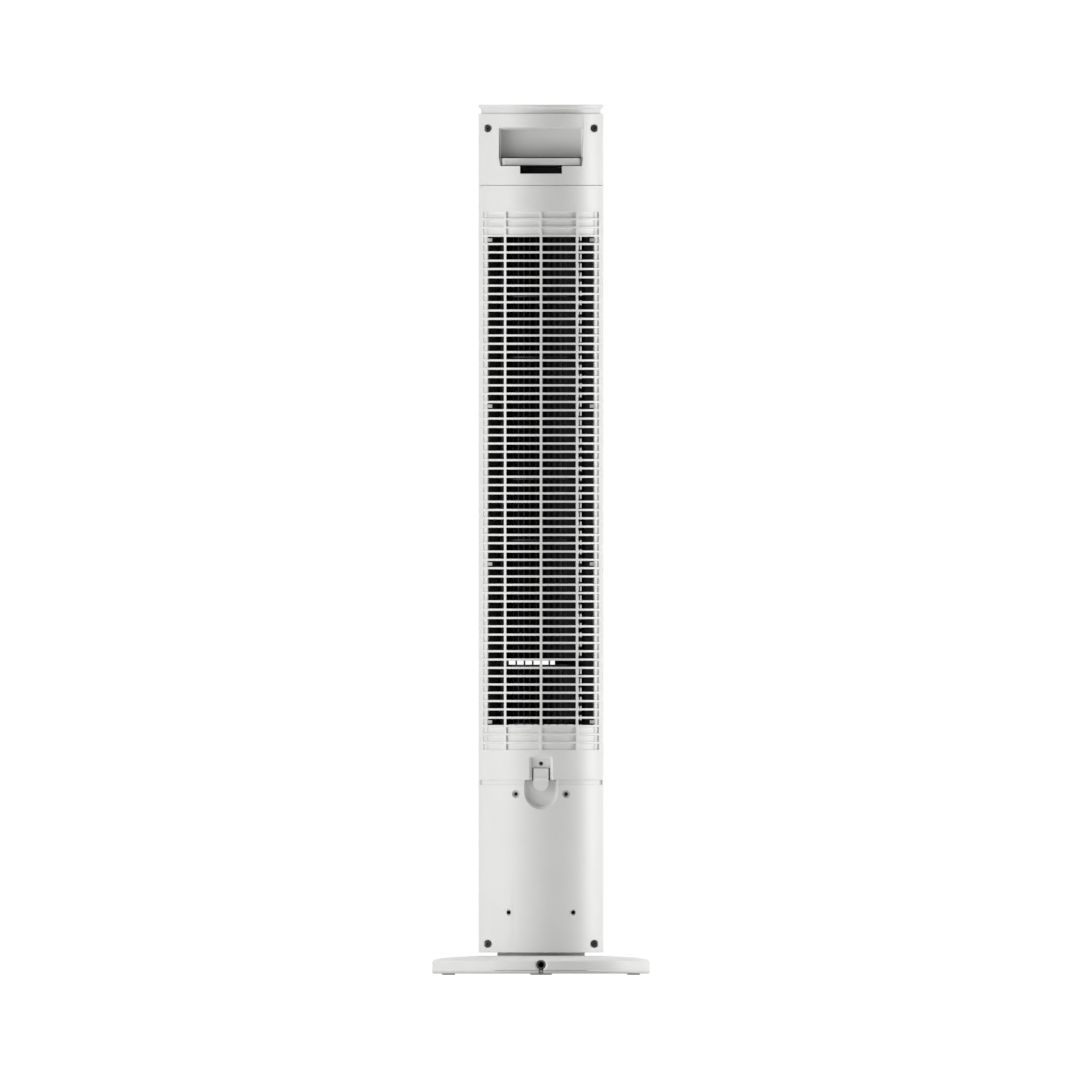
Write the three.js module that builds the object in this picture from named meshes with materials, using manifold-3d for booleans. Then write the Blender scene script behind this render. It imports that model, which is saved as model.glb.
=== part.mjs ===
// Tower fan: a slim round column that swings on a disc base, with a cross-flow impeller inside.
// Millimetres, +Z up, origin on the floor under the middle of the base.
// The air leaves at the front (-Y); the intake grille, handle and remote are at the back (+Y).
import * as THREE from "three";
import { mergeVertices } from "three/addons/utils/BufferGeometryUtils.js";
import Module from "manifold-3d";

const wasm = await Module();
wasm.setup();

const rad = (degrees) => (degrees * Math.PI) / 180;
const polar = (r, a) => [r * Math.sin(rad(a)), r * Math.cos(rad(a))]; // a runs from +Y to +X

// ---- Driving dimensions ----
const HEIGHT = 1000; // floor to top of the cap
const COLUMN_R = 71.75; // outside of the round column
const WALL = 2.5; // moulded wall of the column
const BASE_R = 125; // outside of the base
const BASE_TOP = 21.7; // top of the base
const COLUMN_Z = BASE_TOP + 3.8; // underside of the column
const GAP = 0.3; // between fitted pieces
const RUN = 0.5; // between pieces that turn past each other
const SEG = 36; // facets round the large pieces

// Heights of the joints between the housings
const LOWER_TOP = 218.4; // lower rear housing ends, groove starts
const UPPER_Z = [HEIGHT - 92.5, HEIGHT - 10.6]; // upper rear housing
const GRILLE_Z = [LOWER_TOP + 5.4, UPPER_Z[0] - 0.9]; // rear grille
const SPLIT = 80; // half angle of the rear pieces, degrees from +Y
const INNER_R = COLUMN_R - WALL;

// Rear grille
const ROW_PITCH = 9.55;
const SLOT_H = 7.15;
const FIRST_ROW_Z = GRILLE_Z[0] + 66.8;
const LAST_ROW_ROOM = 62.9; // least height kept above the last open row
const OPEN_ROWS = Math.floor((UPPER_Z[0] - LAST_ROW_ROOM - FIRST_ROW_Z) / ROW_PITCH) + 1;
const BLIND_ROWS = 3; // shallow rows above and below the open ones
const RIB_X = 41.1; // side ribs; one more stands in the middle
const RIB_W = 3;
const SLOT_END_X = COLUMN_R - 5.05;
const GRILLE_FACETS = [-SPLIT, -68.4, -35, -17.5, 0, 17.5, 35, 68.4, SPLIT];
const FACET_INSIDE = INNER_R * Math.cos(rad((68.4 - 35) / 2)); // nearest the flats come inside

// Front grille
const OUTLET_X = 52; // half width of the window in the front housing
const OUTLET_Z = [FIRST_ROW_Z - 15.6, UPPER_Z[0] - 22.5];
const BAR_PITCH = 9.5;
const BAR_W = 1.6;
const FRONT_ROWS = 4;

// Impeller and its drive
const IMPELLER_R = 44;
const BLADES = 10;
const SECTION = 70; // one bay between two discs
const DISC_T = 1.5;
const IMPELLER_Z = [FIRST_ROW_Z - 2.9, UPPER_Z[0] - 58.5]; // lowest to highest face
const MIDDLE_GAP_Z = [IMPELLER_Z[0] + 68.7, IMPELLER_Z[0] + 73.2]; // gap between the impellers
const DUCT_Z = [IMPELLER_Z[0] - 17.7, IMPELLER_Z[1] + 19];
const DUCT_GAP = 2.3; // impeller to the nearest duct wall
const DUCT_T = 2;
const SHAFT_R = 4;
const PIN_R = 1.35;
const STUB_R = 3;

// Base and swing drive
const NECK_R = 50.2;
const NECK_Z = 14;
const COVER_TOP = 4.8;
const COVER_Z = 1.3;
const BASE_FLAT_R = 75; // flat middle of the base's top
const BASE_T = 3;
const GLAND_R = 5.1;
const GLAND_BORE = 3.4;
const GLAND_Z = 11.5;
const MODULE = 2;
const RING_TEETH = 40;
const PINION_TEETH = 10;
const SWING_R = (MODULE * (RING_TEETH - PINION_TEETH)) / 2; // pinion axis from the column axis
const PINION_SHAFT_R = 2.5;
const TOOTH = 0.78; // tooth width as a share of half the pitch, so the mesh keeps play

// Handle, remote control and top panel
const REMOTE_GAP = 0.8;
const REMOTE = {
  x: 45.8,
  z: [UPPER_Z[0] + 22.8, UPPER_Z[0] + 31.2],
  y: [COLUMN_R - 57.75, COLUMN_R - 18.35],
};
const HANDLE = { x: 48.5, z: [REMOTE.z[1] + REMOTE_GAP, UPPER_Z[1] - 15.8], y: COLUMN_R - 33.75 };
const NOTCH = { x: 24, z: [UPPER_Z[0] + 13.1, REMOTE.z[0] - 0.6], y: COLUMN_R - 27.75 };
const CAP_R = COLUMN_R + 0.15;
const CAP_Z = UPPER_Z[1] + GAP;
const CAP_SKIN = 3.7;
const BUTTON_R = 7.4;
const BUTTON_PITCH = 2 * BUTTON_R + 3.7;
const BUTTON_Y = -30;
const DISPLAY_X = 20;
const BUTTONS = ["power", "speed", "mode", "timer", "swing"];
const BUTTON_TRAVEL = 0.8;
const FLANGE_Z = [HEIGHT - CAP_SKIN - GAP - 2, HEIGHT - CAP_SKIN - GAP];
const buttonX = (i) => (i - (BUTTONS.length - 1) / 2) * BUTTON_PITCH;

// Latch that holds the rear grille
const TONGUE = {
  x: 8.7,
  z: [LOWER_TOP - 7.2, LOWER_TOP + 18.8],
  y: [COLUMN_R - 4.35, COLUMN_R - 1.55],
};
const LATCH_POCKET = {
  x: TONGUE.x + 2.3,
  top: GRILLE_Z[0] + 29,
  floor: COLUMN_R - 4.55,
  screwZ: GRILLE_Z[0] + 18.9,
};
const CUP = { z: LOWER_TOP - 8.3, mouth: 20.35, floor: 15.65, y: COLUMN_R - 11.75 };

// Screws: x, z, depth of the head's seat below the surface, head and hole radius.
// A mouth is a wider, shallower bore round the hole.
const SIDE_SCREW_X = COLUMN_R - 10.5;
const SCREWS = [
  { name: "upper", x: SIDE_SCREW_X, z: UPPER_Z[1] - 16.6, depth: 7.4, head: 4, hole: 4.5 },
  { name: "middle", x: 28.8, z: LOWER_TOP - 10.7, depth: 9.7, head: 1.9, hole: 2.25,
    mouth: { r: 4.45, depth: 4.7 } },
  { name: "low", x: 37.1, z: COLUMN_Z + 46.1, depth: 11.4, head: 1.9, hole: 2.35 },
  { name: "bottom", x: SIDE_SCREW_X, z: COLUMN_Z + 10, depth: 8.4, head: 4.1, hole: 4.6 },
];
const belowSurface = (x, depth) => Math.sqrt(COLUMN_R ** 2 - x ** 2) - depth;

// ---- Solids from three.js geometries ----

// The manifold-3d solid of a geometry, with its faces turned outwards.
function solid(geometry) {
  const bare = geometry.index ? geometry.toNonIndexed() : geometry.clone();
  bare.deleteAttribute("normal");
  bare.deleteAttribute("uv");
  const merged = mergeVertices(bare, 1e-4);
  const index = merged.index.array;
  const faces = [];
  for (let i = 0; i < index.length; i += 3) {
    const [a, b, c] = index.slice(i, i + 3);
    if (a !== b && b !== c && c !== a) faces.push([a, b, c]);
  }
  const make = (list) =>
    new wasm.Manifold(
      new wasm.Mesh({
        numProp: 3,
        vertProperties: merged.attributes.position.array,
        triVerts: Uint32Array.from(list.flat()),
      }),
    );
  const made = make(faces);
  return made.volume() < 0 ? make(faces.map(([a, b, c]) => [a, c, b])) : made;
}

const join = (...solids) => solids.flat().reduce((a, b) => a.add(b));
const cut = (body, ...tools) => body.subtract(join(...tools));

function box([x0, x1], [y0, y1], [z0, z1]) {
  const g = new THREE.BoxGeometry(x1 - x0, y1 - y0, z1 - z0);
  return solid(g.translate((x0 + x1) / 2, (y0 + y1) / 2, (z0 + z1) / 2));
}

// An upright prism on a plan outline of [x, y] points.
function prism(points, [z0, z1]) {
  const shape = new THREE.Shape(points.map(([x, y]) => new THREE.Vector2(x, y)));
  const g = new THREE.ExtrudeGeometry(shape, { depth: z1 - z0, bevelEnabled: false });
  return solid(g.translate(0, 0, z0));
}

// A plate on an outline of [x, z] points, running along Y.
function plate(points, [y0, y1]) {
  const shape = new THREE.Shape(points.map(([x, z]) => new THREE.Vector2(x, z)));
  const g = new THREE.ExtrudeGeometry(shape, { depth: y1 - y0, bevelEnabled: false });
  return solid(g.rotateX(Math.PI / 2).translate(0, y1, 0));
}

// A turned piece on the upright axis at x, y; the profile is a list of [r, z].
function turned(profile, segments = SEG, x = 0, y = 0) {
  const onAxis = profile[0][0] === 0 && profile.at(-1)[0] === 0;
  const loop = onAxis ? profile : [...profile, profile[0]];
  const g = new THREE.LatheGeometry(
    loop.map(([r, z]) => new THREE.Vector2(r, z)),
    segments,
  );
  return solid(g.rotateX(Math.PI / 2).translate(x, y, 0));
}

function rod(r, [z0, z1], x = 0, y = 0, segments = 16) {
  return turned([[0, z0], [r, z0], [r, z1], [0, z1]], segments, x, y);
}

// A round bar or cone along Y, from radius r0 at y0 to r1 at y1.
function bar(r0, r1, [y0, y1], x, z, segments = 12) {
  const g = new THREE.CylinderGeometry(r1, r0, y1 - y0, segments);
  return solid(g.translate(x, (y0 + y1) / 2, z));
}

// A curved wall between two radii, on a list of angles from +Y.
function curvedWall([r0, r1], angles, zRange) {
  const outside = angles.map((a) => polar(r1, a));
  const inside = angles.map((a) => polar(r0, a)).reverse();
  return prism([...outside, ...inside], zRange);
}

const steps = (from, to, count) =>
  Array.from({ length: count + 1 }, (_, i) => from + ((to - from) * i) / count);
const REAR_ANGLES = steps(-SPLIT, SPLIT, 16);
const OUT = COLUMN_R + 20; // well outside the column, where cutting tools end
const SPLIT_GAP = (GAP / COLUMN_R) * (180 / Math.PI);
const FRONT_ANGLES = steps(SPLIT + SPLIT_GAP, 360 - SPLIT - SPLIT_GAP, 20);
const insideColumn = (body, less = 0.4) =>
  body.intersect(rod(COLUMN_R - less, [0, HEIGHT], 0, 0, SEG));

// ---- The parts ----
const fan = new THREE.Group();
fan.name = "tower_fan";

function part(name, body, color, roughness = 0.5, metalness = 0) {
  const mesh = body.getMesh();
  const g = new THREE.BufferGeometry();
  g.setAttribute("position", new THREE.BufferAttribute(mesh.vertProperties, 3));
  g.setIndex(new THREE.BufferAttribute(mesh.triVerts, 1));
  const made = new THREE.Mesh(
    g.toNonIndexed(),
    new THREE.MeshStandardMaterial({ color, roughness, metalness, flatShading: true }),
  );
  made.geometry.computeVertexNormals();
  made.name = name;
  fan.add(made);
}

const WHITE = 0xf1f1ef;
const BLACK = 0x17181a;
const STEEL = 0xb4b6b8;
const RUBBER = 0x2b2c2e;

// Bosses and holes of the screws in one housing; each pair stands left and right.
function screwBosses(body, names) {
  for (const s of SCREWS.filter((each) => names.includes(each.name)))
    for (const x of [-s.x, s.x]) {
      const seat = belowSurface(s.x, s.depth);
      const shankR = s.head / 2 + GAP;
      const bossR = (s.mouth?.r ?? s.hole) + 1.5;
      const boss = bar(bossR, bossR, [seat - 5, OUT], x, s.z, 10);
      const tools = [
        bar(s.hole, s.hole, [seat, OUT], x, s.z),
        bar(shankR, shankR, [seat - 6, seat + 1], x, s.z, 8),
      ];
      if (s.mouth) {
        const floor = belowSurface(s.x, s.mouth.depth);
        tools.push(bar(s.mouth.r, s.mouth.r, [floor, OUT], x, s.z));
      }
      body = cut(join(body, insideColumn(boss)), ...tools);
    }
  return body;
}

function addScrews() {
  for (const s of SCREWS)
    for (const [side, x] of [["left", s.x], ["right", -s.x]]) {
      const seat = belowSurface(s.x, s.depth);
      const head = bar(s.head, s.head, [seat + GAP, seat + 3], x, s.z, 10);
      const shank = bar(s.head / 2, s.head / 2, [seat - 14, seat + 1], x, s.z, 6);
      const a = s.head * 0.55;
      const drive = [
        box([x - a, x + a], [seat + 1.6, seat + 4], [s.z - 0.5, s.z + 0.5]),
        box([x - 0.5, x + 0.5], [seat + 1.6, seat + 4], [s.z - a, s.z + a]),
      ];
      part(`screw_${s.name}_${side}`, cut(join(head, shank), ...drive), 0x3a3b3d, 0.35, 0.8);
    }
}

function addBase() {
  const behind = [BASE_R - 29, BASE_R + 5];
  const keyhole = [
    bar(GLAND_R + GAP, GLAND_R + GAP, behind, 0, GLAND_Z, 16),
    box([-2.5, 2.5], behind, [0, GLAND_Z]),
  ];
  const shell = turned([
    [NECK_R + RUN, BASE_TOP], [BASE_FLAT_R, BASE_TOP], [BASE_R - 18, BASE_TOP - 1.9],
    [BASE_R - 2.5, BASE_TOP - 4], [BASE_R, BASE_TOP - 6.1],
    [BASE_R, COVER_TOP + GAP], [BASE_R - BASE_T, COVER_TOP + GAP], [BASE_R - BASE_T, BASE_TOP - 7.1],
    [BASE_R - 18, BASE_TOP - 1.9 - BASE_T], [BASE_FLAT_R, BASE_TOP - BASE_T],
    [NECK_R + RUN, BASE_TOP - BASE_T],
  ]);
  part("base_shell", cut(shell, ...keyhole), WHITE, 0.45);

  const hub = [NECK_R - 3.2, NECK_R + 2.8];
  const hubTop = 12;
  const cover = turned([
    [0, COVER_Z], [BASE_R - 1.4, COVER_Z], [BASE_R, COVER_Z + 1.3], [BASE_R, COVER_TOP],
    [hub[1], COVER_TOP], [hub[1], hubTop], [hub[0], hubTop], [hub[0], COVER_TOP], [0, COVER_TOP],
  ]);
  part("base_bottom_cover", cut(cover, keyhole[1]), 0xdcdcda, 0.6);

  const ringAt = ([r0, r1], [z0, z1]) => turned([[r0, z0], [r1, z0], [r1, z1], [r0, z1]], 28);
  const weight = ringAt([NECK_R + 7.8, BASE_R - 22], [COVER_TOP + 0.4, 13.4]);
  const glandRoom = box([-15, 15], [NECK_R + 5, BASE_R], [0, BASE_TOP]);
  part("base_weight", cut(weight, glandRoom), 0x55585b, 0.5, 0.7);
  const ring = ringAt([hub[0] + 0.4, hub[1] - 0.2], [hubTop + 0.2, NECK_Z - GAP]);
  part("bearing_ring", ring, 0xe6e3d8, 0.4);

  const footR = BASE_R - 18.7;
  const footZ = [0, COVER_Z - 0.1];
  const foot = (x, y) => rod(7.5, footZ, x, y);
  part("foot_front", foot(0, -footR), RUBBER, 0.9);
  part("foot_left", foot(footR, 0), RUBBER, 0.9);
  part("foot_right", foot(-footR, 0), RUBBER, 0.9);
  const rearFoot = (x) => box(x, [footR - 7.3, footR + 6.7], footZ);
  part("foot_rear_left", rearFoot([3.2, 12.5]), RUBBER, 0.9);
  part("foot_rear_right", rearFoot([-12.5, -3.2]), RUBBER, 0.9);

  const tube = bar(GLAND_R, GLAND_R, [BASE_R - 27, BASE_R - 2], 0, GLAND_Z, 16);
  const flange = bar(GLAND_R + 0.5, GLAND_R + 0.5, [BASE_R - 31, BASE_R - 27], 0, GLAND_Z, 16);
  const bore = bar(GLAND_BORE, GLAND_BORE, [BASE_R - 35, BASE_R + 5], 0, GLAND_Z, 12);
  const below = box([-8, 8], [BASE_R - 45, BASE_R + 5], [0, COVER_TOP + GAP]);
  part("cord_gland", cut(join(tube, flange), bore, below), BLACK, 0.7);
}

// Gear outline: points [x, y] of straight-sided teeth; inner teeth point to the axis.
function gearOutline(teeth, from, to, phase, inner) {
  const pitchR = (MODULE * teeth) / 2;
  const half = (90 / teeth) * TOOTH; // half a tooth at the pitch circle, degrees
  const sign = inner ? -1 : 1;
  const tip = pitchR + sign * MODULE * 0.9;
  const root = pitchR - sign * MODULE * 1.2;
  const slope = half * 0.42;
  const points = [];
  for (let i = from; i <= to; i++) {
    const a = (360 / teeth) * i + phase;
    points.push(polar(root, a - half - slope), polar(tip, a - half + slope));
    points.push(polar(tip, a + half - slope), polar(root, a + half + slope));
  }
  return points;
}

function addSwingDrive() {
  // The internal gear segment is fixed in the base and faces the front, where the pinion runs.
  const teeth = gearOutline(RING_TEETH, 13, 27, 0, true);
  const backR = (MODULE * RING_TEETH) / 2 + MODULE * 2.8;
  const back = steps(180 + 66, 180 - 66, 16).map((a) => polar(backR, a));
  part("ring_gear_segment", prism([...teeth, ...back], [COVER_TOP + 0.2, 12.6]), 0xe9e6da, 0.4);

  const pinionTeeth = gearOutline(PINION_TEETH, 0, PINION_TEETH - 1, 180 / PINION_TEETH, false);
  const placed = pinionTeeth.map(([x, y]) => [x, y - SWING_R]);
  const shaft = rod(PINION_SHAFT_R, [7.2, COLUMN_Z + 23.5], 0, -SWING_R);
  const pinion = join(prism(placed, [7.2, 12.4]), shaft);
  part("swing_pinion", pinion, 0xe0ddd0, 0.4);

  const seatZ = COLUMN_Z + 7.5;
  const collarZ = COLUMN_Z + 3.8;
  const motor = turned(
    [[0, collarZ], [8, collarZ], [8, seatZ], [22, seatZ], [22, seatZ + 19], [0, seatZ + 19]],
    20, 0, -SWING_R,
  );
  const bore = rod(PINION_SHAFT_R + GAP, [20, seatZ + 17], 0, -SWING_R);
  const lugs = box([-29, 29], [-SWING_R - 4, -SWING_R + 4], [seatZ, seatZ + 2]);
  part("swing_motor", cut(join(motor, lugs), bore), STEEL, 0.35, 0.8);

  const [neckIn, neckTop] = [NECK_R - 3.7, COLUMN_Z + 0.2];
  const lipTop = BASE_TOP - BASE_T - 0.6;
  const neck = turned([
    [neckIn, NECK_Z], [NECK_R + 3.8, NECK_Z], [NECK_R + 3.8, lipTop], [NECK_R, lipTop],
    [NECK_R, neckTop], [neckIn, neckTop],
  ], 28);
  part("swivel_neck", neck, 0x8e8f90, 0.5);
  const floorZ = [COLUMN_Z + 0.5, COLUMN_Z + 3.5];
  const floor = rod(INNER_R - 0.35, floorZ, 0, 0, SEG);
  const through = [COLUMN_Z - 5, COLUMN_Z + 8];
  const holes = [rod(PINION_SHAFT_R + 1.5, through, 0, -SWING_R), rod(9, through, 0, 12)];
  part("column_floor", cut(floor, ...holes), 0xe4e4e2, 0.55);
}

function addHousings() {
  const shell = (zRange) => curvedWall([INNER_R, COLUMN_R], REAR_ANGLES, zRange);

  // Lower rear housing, with the groove lip, the finger cup and the screw bosses.
  const lip = curvedWall([INNER_R - 0.6, COLUMN_R - 1], REAR_ANGLES, [LOWER_TOP - 2, GRILLE_Z[0] - 0.6]);
  const mouthY = COLUMN_R + 0.25;
  const cupBody = bar(CUP.floor + 2, CUP.mouth + 2, [CUP.y - 2, mouthY], 0, CUP.z, 20);
  const cupHole = bar(CUP.floor, CUP.mouth, [CUP.y, mouthY], 0, CUP.z, 20);
  const above = box([-40, 40], [40, OUT], [GRILLE_Z[0] - 0.6, GRILLE_Z[0] + 40]);
  const mouthX = CUP.mouth - 1.75;
  const mouth = box([-mouthX, mouthX], [CUP.y, OUT], [CUP.z + 5, GRILLE_Z[0]]);
  let lower = join(shell([COLUMN_Z, LOWER_TOP]), lip, insideColumn(cupBody, 1));
  lower = screwBosses(lower, ["middle", "low", "bottom"]);
  part("lower_rear_housing", cut(lower, cupHole, above, mouth), WHITE, 0.45);

  // Upper rear housing, with the handle recess, the remote's slot and the finger notch.
  const pocket = (x, y, [z0, z1], wall = 2) => [
    box([-x - wall, x + wall], [y - wall, OUT], [z0 - wall, z1 + wall]),
    box([-x, x], [y, OUT], [z0, z1]),
  ];
  const [handleWalls, handle] = pocket(HANDLE.x, HANDLE.y, HANDLE.z);
  const slotZ = [REMOTE.z[0] - REMOTE_GAP, REMOTE.z[1] + REMOTE_GAP];
  const [slotWalls, slot] = pocket(REMOTE.x + REMOTE_GAP, REMOTE.y[0] - REMOTE_GAP, slotZ);
  const [notchWalls, notch] = pocket(NOTCH.x, NOTCH.y, NOTCH.z);
  const pockets = insideColumn(join(handleWalls, slotWalls, notchWalls));
  const upper = screwBosses(join(shell(UPPER_Z), pockets), ["upper"]);
  part("upper_rear_housing", cut(upper, handle, slot, notch), WHITE, 0.45);

  // Front housing: one tall shell with the outlet window and the display window.
  const front = curvedWall([INNER_R, COLUMN_R], FRONT_ANGLES, [COLUMN_Z, UPPER_Z[1]]);
  const outlet = box([-OUTLET_X, OUTLET_X], [-OUT, -20], OUTLET_Z);
  const displayZ = [HEIGHT - 85, HEIGHT - 55];
  const window = box([-DISPLAY_X, DISPLAY_X], [-OUT, -40], displayZ);
  part("front_housing", cut(front, outlet, window), WHITE, 0.45);
  const lensZ = [displayZ[0] + GAP, displayZ[1] - GAP];
  const lens = curvedWall([INNER_R, COLUMN_R - 0.4], steps(160, 200, 8), lensZ);
  const lensBox = box([GAP - DISPLAY_X, DISPLAY_X - GAP], [-OUT, -40], displayZ);
  part("display_lens", lens.intersect(lensBox), 0x0b0c0e, 0.1);
}

function addRearGrille() {
  const wall = curvedWall([INNER_R, COLUMN_R], GRILLE_FACETS, GRILLE_Z);
  const columns = [
    [RIB_W / 2, RIB_X - RIB_W / 2],
    [RIB_X + RIB_W / 2, SLOT_END_X],
  ].flatMap(([a, b]) => [[a, b], [-b, -a]]);
  const rowZ = (i) => FIRST_ROW_Z + ROW_PITCH * i;
  const slotRow = (i) => {
    const z = rowZ(i);
    return columns.map((x) => box(x, [10, OUT], [z - SLOT_H / 2, z + SLOT_H / 2]));
  };
  const open = [];
  const blind = [];
  for (let i = -BLIND_ROWS; i < OPEN_ROWS + BLIND_ROWS; i++)
    (i < 0 || i >= OPEN_ROWS ? blind : open).push(...slotRow(i));
  const floor = curvedWall([20, COLUMN_R - 1.2], GRILLE_FACETS, GRILLE_Z);
  let grille = cut(wall, ...open, cut(join(blind), floor));

  const pocketX = LATCH_POCKET.x + 2.2;
  const pocketZ = [TONGUE.z[1] + 1, LATCH_POCKET.top + 2.2];
  const body = box([-pocketX, pocketX], [LATCH_POCKET.floor - 2.2, COLUMN_R - 1.35], pocketZ);
  const from = LOWER_TOP - 20;
  const recess = box(
    [-LATCH_POCKET.x, LATCH_POCKET.x], [LATCH_POCKET.floor, OUT], [from, LATCH_POCKET.top],
  );
  const slitX = TONGUE.x + 1.7;
  const slits = box([-slitX, slitX], [COLUMN_R - 20, OUT], [from, TONGUE.z[1] + 0.4]);
  const hole = bar(2.45, 2.45, [COLUMN_R - 20, OUT], 0, LATCH_POCKET.screwZ);
  grille = cut(join(grille, insideColumn(body)), recess, slits, hole);

  // Snap hooks inside the edges, in line with four of the rows.
  const [hookX, hookY] = polar(COLUMN_R - 2.05, 62.5);
  for (const third of [0, 1, 2, 3])
    for (const side of [-1, 1]) {
      const span = (a, b) => (side > 0 ? [hookX + a, hookX + b] : [-hookX - b, -hookX - a]);
      const z = rowZ(Math.floor(((OPEN_ROWS - 1) * third) / 3));
      const hook = box(span(-5.8, 0.6), [hookY - 0.8, hookY + 2.2], [z - 2, z + 2]);
      const root = box(span(-0.8, 1.2), [hookY - 1.7, hookY + 0.8], [z - 5, z + 5]);
      grille = join(grille, hook, root);
    }
  part("rear_grille", grille, WHITE, 0.45);

  const end = steps(90, 270, 12).map((a) => {
    const [x, z] = polar(TONGUE.x, a);
    return [x, TONGUE.z[0] + TONGUE.x + z];
  });
  const outline = [[-TONGUE.x, TONGUE.z[1]], [TONGUE.x, TONGUE.z[1]], ...end];
  part("latch_tongue", plate(outline, TONGUE.y), WHITE, 0.45);
  const [screwZ, headY] = [LATCH_POCKET.screwZ, LATCH_POCKET.floor - 1];
  const screw = join(
    bar(2.1, 2.1, [headY - 2.2, headY], 0, screwZ, 16),
    bar(1.2, 1.2, [headY - 12.2, headY - 1], 0, screwZ, 12),
  );
  const drive = box([-1.2, 1.2], [headY - 1, headY + 2], [screwZ - 0.3, screwZ + 0.3]);
  part("latch_screw", cut(screw, drive), 0x3a3b3d, 0.35, 0.8);
}

function addFrontGrille() {
  const edge = OUTLET_X - GAP;
  const half = Math.asin(OUTLET_X / (COLUMN_R - 3)) * (180 / Math.PI) + 1;
  const angles = steps(180 - half, 180 + half, 10);
  const zRange = [OUTLET_Z[0] + GAP, OUTLET_Z[1] - GAP];
  const panel = curvedWall([COLUMN_R - 3, COLUMN_R - GAP], angles, zRange).intersect(
    box([-edge, edge], [-OUT, -20], zRange),
  );
  const slots = [];
  const z0 = zRange[0] + 7;
  const rowH = (zRange[1] - zRange[0] - 14) / FRONT_ROWS;
  const bars = Math.floor((edge - 4) / BAR_PITCH);
  for (let k = -bars; k < bars; k++)
    for (let row = 0; row < FRONT_ROWS; row++) {
      const x = [k * BAR_PITCH + BAR_W / 2, (k + 1) * BAR_PITCH - BAR_W / 2];
      slots.push(box(x, [-OUT, -20], [z0 + row * rowH + 1, z0 + (row + 1) * rowH - 1]));
    }
  part("front_grille", cut(panel, ...slots), 0xe3e3e1, 0.5);
}

// Black duct: two side walls round the impeller, an end plate at each end and one stay.
function addDuct() {
  const near = IMPELLER_R + DUCT_GAP;
  const rim = INNER_R - 1.8;
  const far = near + DUCT_T;
  const frontY = -Math.sqrt(rim ** 2 - far ** 2);
  const flange = FACET_INSIDE / Math.cos(rad(12.6)) - 0.4;
  const right = prism([
    polar(flange - 0.5, -62.9), polar(near + 9, -67.1), [-near, 10], [-near, frontY],
    [-far, frontY], [-far, 9], polar(near + 10, -69), polar(flange, -64.3),
  ], DUCT_Z);
  const tail = Math.min(near + 13.5, rim - 5);
  const left = prism([
    polar(flange - 0.5, 62.9), polar(flange, 64.3), polar(near + 9.2, 69),
    polar(near + 2.8, 80.6), polar(near + 3.2, 99.8), polar(near + 6, 120.6),
    polar(tail + 1.3, 140.3), polar(tail, 141.8), polar(near + 3.9, 121.2),
    polar(near + 1.2, 99.7), polar(near + 0.9, 79.7), polar(near + 8, 67.2),
  ], DUCT_Z);
  const plateR = FACET_INSIDE - 0.5;
  const low = rod(plateR, [DUCT_Z[0], DUCT_Z[0] + 3], 0, 0, 32);
  const high = rod(plateR, [DUCT_Z[1] - 3, DUCT_Z[1]], 0, 0, 32);
  const stayZ = [MIDDLE_GAP_Z[0] - 3.4, MIDDLE_GAP_Z[1] + 3.4];
  const stay = curvedWall([near, near + 2.5], steps(-91, -160, 6), stayZ);
  const shaftHole = rod(SHAFT_R + 8, [DUCT_Z[0] - 5, DUCT_Z[0] + 5], 0, 0, 24);
  const bushZ = [DUCT_Z[1] - 6, DUCT_Z[1] + 2];
  const bushR = STUB_R + 5;
  const duct = join(right, left, low, high, stay);
  part("air_duct", cut(duct, shaftHole, rod(bushR + GAP, bushZ)), BLACK, 0.6);
  const hole = STUB_R + 0.06;
  const bush = turned(
    [[hole, bushZ[0]], [bushR, bushZ[0]], [bushR, bushZ[1]], [hole, bushZ[1]]], 16,
  );
  part("top_bearing_bush", bush, 0x8a6f3c, 0.4, 0.7);
}

function impeller([z0, z1], discZ) {
  const blades = Array.from({ length: BLADES }, (_, i) => {
    const a = (360 / BLADES) * i;
    const [out, back] = [IMPELLER_R - 1, IMPELLER_R - 8.5];
    const slat = [polar(out, a), polar(out, a + 1.6), polar(back, a + 13.5), polar(back, a + 11.6)];
    return prism(slat, [z0, z1]);
  });
  return [blades, discZ.map((z) => rod(IMPELLER_R, [z, z + DISC_T], 0, 0, 24))];
}

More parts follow.
